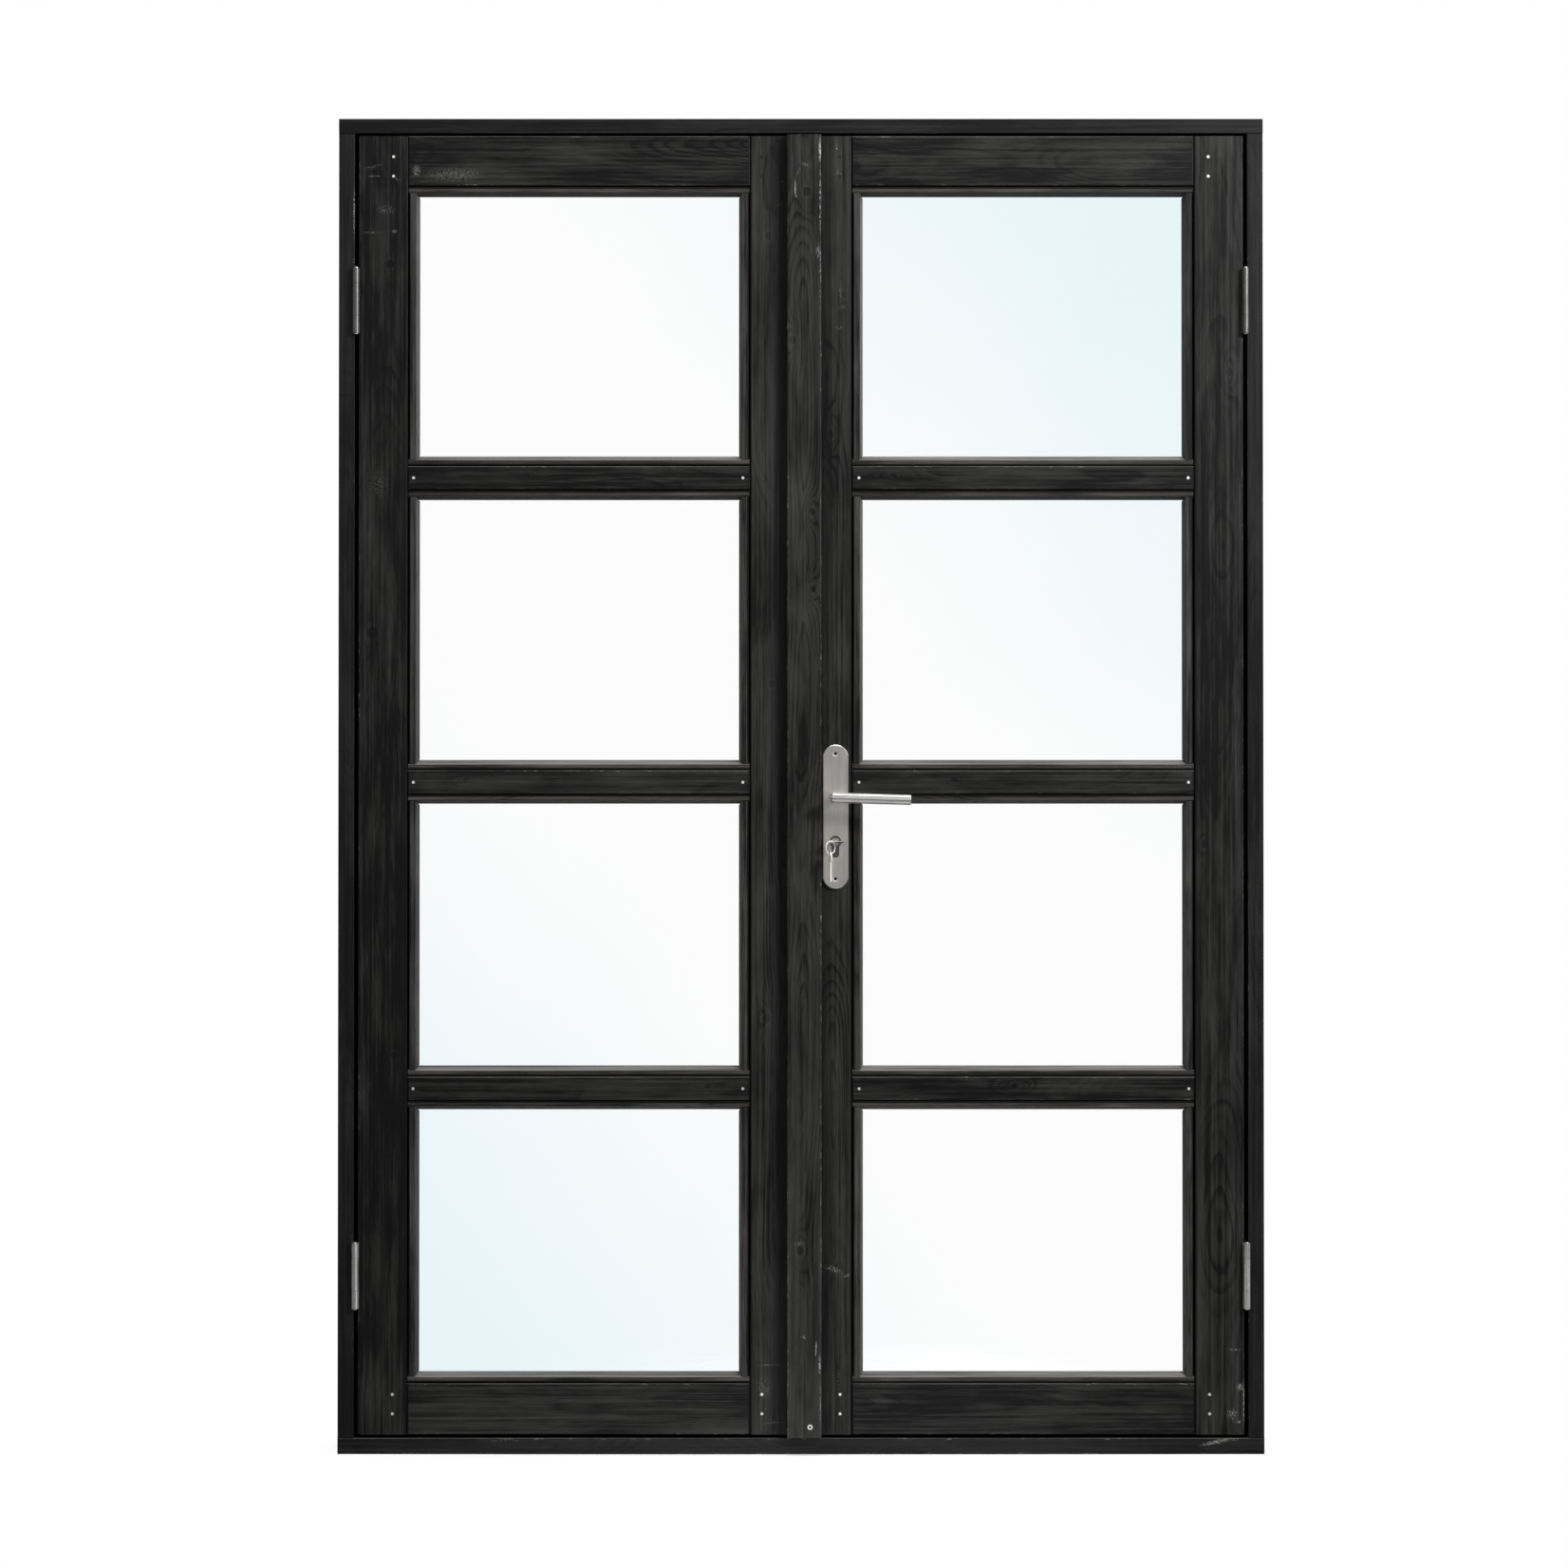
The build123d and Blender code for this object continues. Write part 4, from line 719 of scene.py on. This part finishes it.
STILE = {
    "left_hinge_stile": dict(
        centre=(-673, 1077), seed=11, tone=-0.22, heart=0.05, tilt=0.012,
        knots=[(-662, 1915, 7), (-690, 1320, 9), (-655, 640, 6)],
        scuffs=[
            (-688, 2057, 12, 1.6, 0, 0.85, 0.78), (-668, 2003, 18, 9, 0, 0.28, 0.8),
            (-690, 1966, 26, 2.0, 0, 0.30, 0.8), (-690, 2072, 20, 4, 14, 0.2, 0.8),
            (-650, 2052, 10, 3.5, -40, 0.25, 0.8), (-655, 1968, 5, 4, 0, 0.3, 0.7),
            (-680, 1560, 20, 30, 5, 0.12, 0.8),
        ],
    ),
    "left_meeting_stile": dict(
        centre=(-42, 1077), seed=12, tone=0.20, heart=0.012, tilt=0.03, figure=0.85,
        knots=[(-55, 700, 7), (-53, 1961, 6), (-47, 1238, 6)], painted_strip_shadow=[(-54, -36, 0.72)],
        scuffs=[
            (-50, 143, 26, 2.2, 0, 0.4, 0.8), (-45, 50, 24, 3.0, 2, 0.4, 0.82),
            (-60, 105, 14, 24, 10, 0.12, 0.75), (-28, 2045, 10, 14, 0, 0.3, 0.85),
            (-34, 2012, 9, 9, 0, 0.28, 0.82),
        ],
    ),
    "right_meeting_stile": dict(
        centre=(42, 1077), seed=13, tone=0.19, heart=0.02, tilt=0.018, figure=0.7,
        knots=[(62, 300, 9), (69, 1866, 5), (48, 1640, 6), (60, 1010, 5)], painted_strip_shadow=[(53, 38, 0.6)],
        scuffs=[
            (52, 297, 20, 6, -16, 0.42, 0.78), (75, 287, 8, 3, 20, 0.5, 0.75),
            (60, 118, 3, 24, 0, 0.28, 0.84), (58, 2104, 2.2, 6, 0, 0.6, 0.8),
            (60, 2062, 10, 5, 0, 0.3, 0.84), (64, 1868, 3, 24, 0, 0.28, 0.8),
            (66, 1845, 9, 4, 0, 0.3, 0.8), (62, 1812, 12, 4, 0, 0.2, 0.8),
        ],
    ),
    "right_hinge_stile": dict(
        centre=(673, 1077), seed=14, tone=0.06, heart=0.06, tilt=0.006, spacing=0.0058,
        knots=[(690, 1740, 7), (650, 980, 6)],
        scuffs=[
            (712, 85, 2.0, 44, 0, 0.85, 0.7), (706, 108, 7, 8, 0, 0.6, 0.75),
            (694, 64, 12, 12, 30, 0.45, 0.78), (706, 52, 12, 3, 0, 0.5, 0.75),
            (697, 168, 14, 4, 0, 0.35, 0.8),
        ],
    ),
}
for name, spec in STILE.items():
    inner = 82.0 if "meeting" in name else 633.5
    side_of = -1.0 if name.startswith("left") else 1.0
    give(name, timber(name.replace("_", " "), "Z", half=39.5, edge=0.4, butts=(side_of * inner,), **spec))

RAILS = {"top": (2081.65, 40.3), "bottom": (72.55, 41.0)}
MIDS = {"upper": 1570.2, "middle": 1079.8, "lower": 587.0}
SEAM_Z = [z + d for z in MIDS.values() for d in (-19.0, 19.0)] + [2041.3, 113.6]
seed = 20
for side, s in (("left", -1), ("right", 1)):
    for rail, (z, h) in RAILS.items():
        seed += 1
        spec = dict(tone=0.02, heart=0.03, tilt=0.01, figure=0.6)
        if side == "left" and rail == "top":
            spec = dict(
                tone=-0.02, heart=0.02, tilt=-0.03, figure=0.6,
                scuffs=[(s * 620, 2066, 9, 12, 0, 0.25, 0.7), (s * 560, 2060, 60, 16, 0, 0.14, 0.7)],
            )
        elif rail == "bottom":
            spec["tone"] = -0.02
        give(
            f"{side}_{rail}_rail",
            timber(f"{side} {rail} rail", "X", (s * 358, z), seed, half=h, edge=0.6, butts=(s * 82.0, s * 633.5), **spec),
        )
    for rail, z in MIDS.items():
        seed += 1
        give(
            f"{side}_{rail}_glazing_rail",
            timber(
                f"{side} {rail} glazing rail", "X", (s * 358, z), seed,
                tone=0.03, figure=0.55, heart=0.04, tilt=0.015 * (1 if seed % 2 else -1),
                half=19.0, edge=0.55, butts=(s * 82.0, s * 633.5),
                knots=[(s * (150 + 97 * (seed % 5)), z + 4, 5)],
            ),
        )
    for kind, axis in (("beads_across", "X"), ("beads_upright", "Z")):
        seed += 1
        give(
            f"{side}_{kind}",
            timber(
                f"{side} {kind}".replace("_", " "), axis, (s * 358, 1077), seed,
                BEAD_DARK, BEAD_LIGHT, 0.22 if axis == "X" else 0.04, 0.6,
                heart=0.03, spacing=0.0032, rough=0.58, groove=False, painted_bead_light_and_wear=0.7, shine=0.14,
                seams=SEAM_Z if axis == "X" else (s * 82.0, s * 633.5),
            ),
        )

give(
    "cover_strip",
    timber(
        "Cover strip timber", "Z", (5.3, 1075), 41,
        (0.0030, 0.0030, 0.0028), (0.047, 0.0462, 0.0435), 0.13, 0.42,
        heart=0.006, tilt=0.035, spacing=0.0052, half=27.6, edge=0.6, smear=0.8, streak=0.6,
        knots=[(-14, 1791, 6), (17, 1515, 5.5), (19, 1390, 5), (10, 2030, 7), (-2, 330, 7)],
        scuffs=[
            (30.5, 2098, 2.4, 26, 0, 0.75, 0.62), (31, 2015, 2.2, 70, 0, 0.55, 0.74),
            (31, 1900, 2.0, 60, 0, 0.45, 0.76), (28, 1935, 5, 20, 0, 0.3, 0.76),
            (-9, 2035, 1.4, 18, 0, 0.42, 0.55), (-8, 2022, 3.2, 3.2, 0, 0.36, 0.7),
            (6, 2074, 16, 4, -20, 0.10, 0.7), (-4, 2063, 3, 12, -20, 0.10, 0.7),
            (-4, 340, 12, 5, 0, 0.32, 0.8), (24, 172, 1.4, 16, -4, 0.5, 0.6),
            (30, 145, 2.4, 20, 0, 0.5, 0.68), (4, 190, 6, 4, 0, 0.3, 0.75),
            (31, 80, 1.6, 44, 0, 0.4, 0.74),
        ],
    ),
)

# ------------------------------------------------------------ metals, by node
plate = metal("Brushed stainless plate", (0.86, 0.83, 0.79), 0.33, "Z", 1500.0, 10.0, 0.16, 0.12, aniso=0.3, painted_cylinder_shade=True)
give("handle_plate_outer", plate)
give("handle_plate_inner", plate)
give("lock_forend", metal("Brushed forend", (0.72, 0.70, 0.67), 0.36, "Z", 1500.0, 10.0, 0.14, 0.12))
lever = metal(
    "Brushed stainless lever", (0.66, 0.652, 0.638), 0.34, "X", 1300.0, 4.0, 0.55, 0.10,
    streaks=((0.50, 0.09, 0.75), (-0.15, 0.10, 0.8), (-0.80, 0.14, 0.75)), metallic=0.6,
)
give("lever_outer", lever)
give("lever_inner", lever)
# painted light: the lower hinges are made 3.4 times lighter
hinge = metal("Zinc plated hinge", (0.17, 0.17, 0.164), 0.46, "Z", 800.0, 10.0, 0.60, 0.08, dirt=0.25, lower_light_gain=3.4)
for n in ("hinge_leaves_door_left", "hinge_leaves_door_right", "hinge_leaves_frame_left", "hinge_leaves_frame_right"):
    give(n, hinge)
give("hinge_pins", metal("Turned pin", (0.66, 0.655, 0.64), 0.28, "Z", 700.0, 60.0, 0.1, 0.1))
give("spindle", metal("Spindle steel", (0.50, 0.49, 0.48), 0.36, "Y", 900.0, 25.0, 0.12, 0.1))
cast = metal("Lock hub", (0.42, 0.41, 0.40), 0.42, None, 300.0, 300.0, 0.12, 0.15, dirt=0.3)
give("lock_hub", cast)
give("lock_case", metal("Plated lock case", (0.48, 0.475, 0.45), 0.40, "Z", 260.0, 30.0, 0.14, 0.1, dirt=0.25))
give("latch_bolt", metal("Latch nickel", (0.66, 0.64, 0.60), 0.22, "X", 800.0, 30.0, 0.08, 0.06))
give("deadbolt", metal("Deadbolt nickel", (0.64, 0.62, 0.585), 0.25, "X", 800.0, 30.0, 0.08, 0.06))
give("strike_plate", metal("Strike steel", (0.58, 0.565, 0.54), 0.34, "Z", 1200.0, 14.0, 0.14, 0.1, dirt=0.15))
flush = metal("Flush bolt steel", (0.56, 0.55, 0.535), 0.32, "Z", 1100.0, 16.0, 0.12, 0.1)
for n in ("flush_bolt_top", "flush_bolt_bottom", "flush_bolt_plates"):
    give(n, flush)
give("flush_bolt_keeps", metal("Keep steel", (0.56, 0.55, 0.535), 0.36, "Y", 1100.0, 16.0, 0.12, 0.1))
nickel = metal("Satin nickel", (0.74, 0.71, 0.66), 0.18, "Y", 900.0, 40.0, 0.10, 0.08)
for n in ("cylinder_plug", "cylinder_plug_inner"):
    give(n, nickel)
give("cylinder_body", metal("Cylinder brass body", (0.20, 0.19, 0.175), 0.30, "Y", 900.0, 40.0, 0.20, 0.08))
give("cylinder_cam", metal("Cam steel", (0.40, 0.385, 0.36), 0.42, None, 400.0, 400.0, 0.1, 0.1))
give("key", metal("Nickel silver key", (1.0, 0.98, 0.93), 0.25, "Y", 800.0, 40.0, 0.10, 0.1, painted_shading=(-0.7, 0.8), metallic=0.2))
give("spare_key", metal("Nickel silver second key", (1.0, 0.98, 0.93), 0.25, "Z", 800.0, 40.0, 0.10, 0.1, metallic=0.15))
give("key_ring", metal("Sprung ring", (1.0, 0.99, 0.96), 0.25, None, 400.0, 400.0, 0.08, 0.05, metallic=0.1))

PLATE_SCREWS = [(("X", "Z"), (55.5, z), 2.9) for z in (1125.9, 924.6)]
give(
    "lock_and_handle_screws",
    metal("Stainless screws", (0.92, 0.91, 0.89), 0.30, None, 300.0, 300.0, 0.10, 0.1, crosses=PLATE_SCREWS, cross="round", metallic=0.5),
)
zinc = metal("Bright zinc", (0.93, 0.925, 0.91), 0.52, None, 300.0, 300.0, 0.12, 0.08, painted=True)
for n in ("left_leaf_nails", "right_leaf_nails", "frame_corner_screws", "frame_hardware_screws", "left_leaf_screws"):
    give(n, zinc)
give(
    "right_leaf_screws",
    metal("Bright zinc screws", (0.86, 0.855, 0.84), 0.45, None, 300.0, 300.0, 0.12, 0.08, crosses=[(("X", "Z"), (14.6, 46.5), 2.1)], cross="round"),
)

glass = glass_material()
give("left_glass_panes", glass)
give("right_glass_panes", glass)
give("weather_seal", rubber_material())


# -------------------------------------------------------------------- stage
def stage_floor():
    me = bpy.data.meshes.new("Floor")
    w = 14.0
    me.from_pydata([(-w, -w, 0), (w, -w, 0), (w, w, 0), (-w, w, 0)], [], [(0, 1, 2, 3)])
    ob = bpy.data.objects.new("Floor", me)
    ob.location = (0, 0, -0.0005)
    scene.collection.objects.link(ob)
    m = bpy.data.materials.new("Pale floor")
    m.use_nodes = True
    m.node_tree.nodes.clear()
    t = Tree(m.node_tree)
    out = t.node("ShaderNodeOutputMaterial")
    dif = t.node("ShaderNodeBsdfDiffuse")
    dif.inputs[0].default_value = (0.86, 0.86, 0.86, 1.0)
    lp = t.node("ShaderNodeLightPath")
    em = t.node("ShaderNodeEmission")
    em.inputs["Color"].default_value = (1.0, 1.0, 1.0, 1.0)
    t.put(em.inputs["Strength"], t.math("MULTIPLY", lp.outputs["Is Camera Ray"], 0.20))
    add = t.node("ShaderNodeAddShader")
    m.node_tree.links.new(dif.outputs[0], add.inputs[0])
    m.node_tree.links.new(em.outputs[0], add.inputs[1])
    place = t.node("ShaderNodeTexCoord").outputs["Object"]
    away = t.vmath("LENGTH", t.vmath("MULTIPLY", place, (1.1, 1.0, 0.0)))
    gone = t.node("ShaderNodeBsdfTransparent")
    fade = t.node("ShaderNodeMixShader")
    t.put(fade.inputs[0], t.ramp(away, 0.3, 0.95))
    m.node_tree.links.new(add.outputs[0], fade.inputs[1])
    m.node_tree.links.new(gone.outputs[0], fade.inputs[2])
    m.node_tree.links.new(fade.outputs[0], out.inputs[0])
    me.materials.append(m)


stage_floor()

world = bpy.data.worlds.new("Studio")
scene.world = world
world.use_nodes = True
world.node_tree.nodes.clear()
t = Tree(world.node_tree)
wout = t.node("ShaderNodeOutputWorld")
tc = t.node("ShaderNodeTexCoord")
gx, gy, gz = t.sep(tc.outputs["Generated"])
# bright behind the doors and overhead, dimmer where the camera stands
behind = t.ramp(gy, -0.15, 0.55)
above = t.ramp(gz, 0.0, 0.9)
side = t.ramp(gx, -0.2, 1.0)
level = t.math("MULTIPLY_ADD", behind, 0.72, 0.22)
level = t.math("MULTIPLY_ADD", above, 0.30, level)
level = t.math("MULTIPLY_ADD", side, 0.12, level)
lp = t.node("ShaderNodeLightPath")
white = t.node("ShaderNodeBackground")
white.inputs["Color"].default_value = (1.0, 1.0, 1.0, 1.0)
white.inputs["Strength"].default_value = 1.0
room = t.node("ShaderNodeBackground")
room.inputs["Color"].default_value = (1.0, 1.0, 1.0, 1.0)
t.put(room.inputs["Strength"], level)
mixw = t.node("ShaderNodeMixShader")
world.node_tree.links.new(lp.outputs["Is Camera Ray"], mixw.inputs[0])
world.node_tree.links.new(room.outputs[0], mixw.inputs[1])
world.node_tree.links.new(white.outputs[0], mixw.inputs[2])
world.node_tree.links.new(mixw.outputs[0], wout.inputs[0])


def softbox(name, place, target, width, height, watts, colour=(1.0, 1.0, 1.0)):
    d = bpy.data.lights.new(name, "AREA")
    d.shape = "RECTANGLE"
    d.size, d.size_y = width, height
    d.energy = watts
    d.color = colour
    ob = bpy.data.objects.new(name, d)
    ob.location = place
    ob.rotation_euler = (Vector(target) - Vector(place)).to_track_quat("-Z", "Y").to_euler()
    scene.collection.objects.link(ob)
    return ob


softbox("Key light", (3.3, -3.2, 3.5), (0.0, 0.0, 1.2), 0.7, 0.9, 230.0)
softbox("Fill light", (-2.6, -4.0, 2.2), (0.0, 0.0, 1.0), 2.0, 2.0, 14.0)
softbox("Top light", (0.0, -0.6, 4.2), (0.0, 0.0, 1.4), 2.6, 1.0, 45.0)
softbox("Back light", (1.5, 3.6, 2.6), (0.0, 0.0, 1.2), 2.0, 2.0, 60.0)
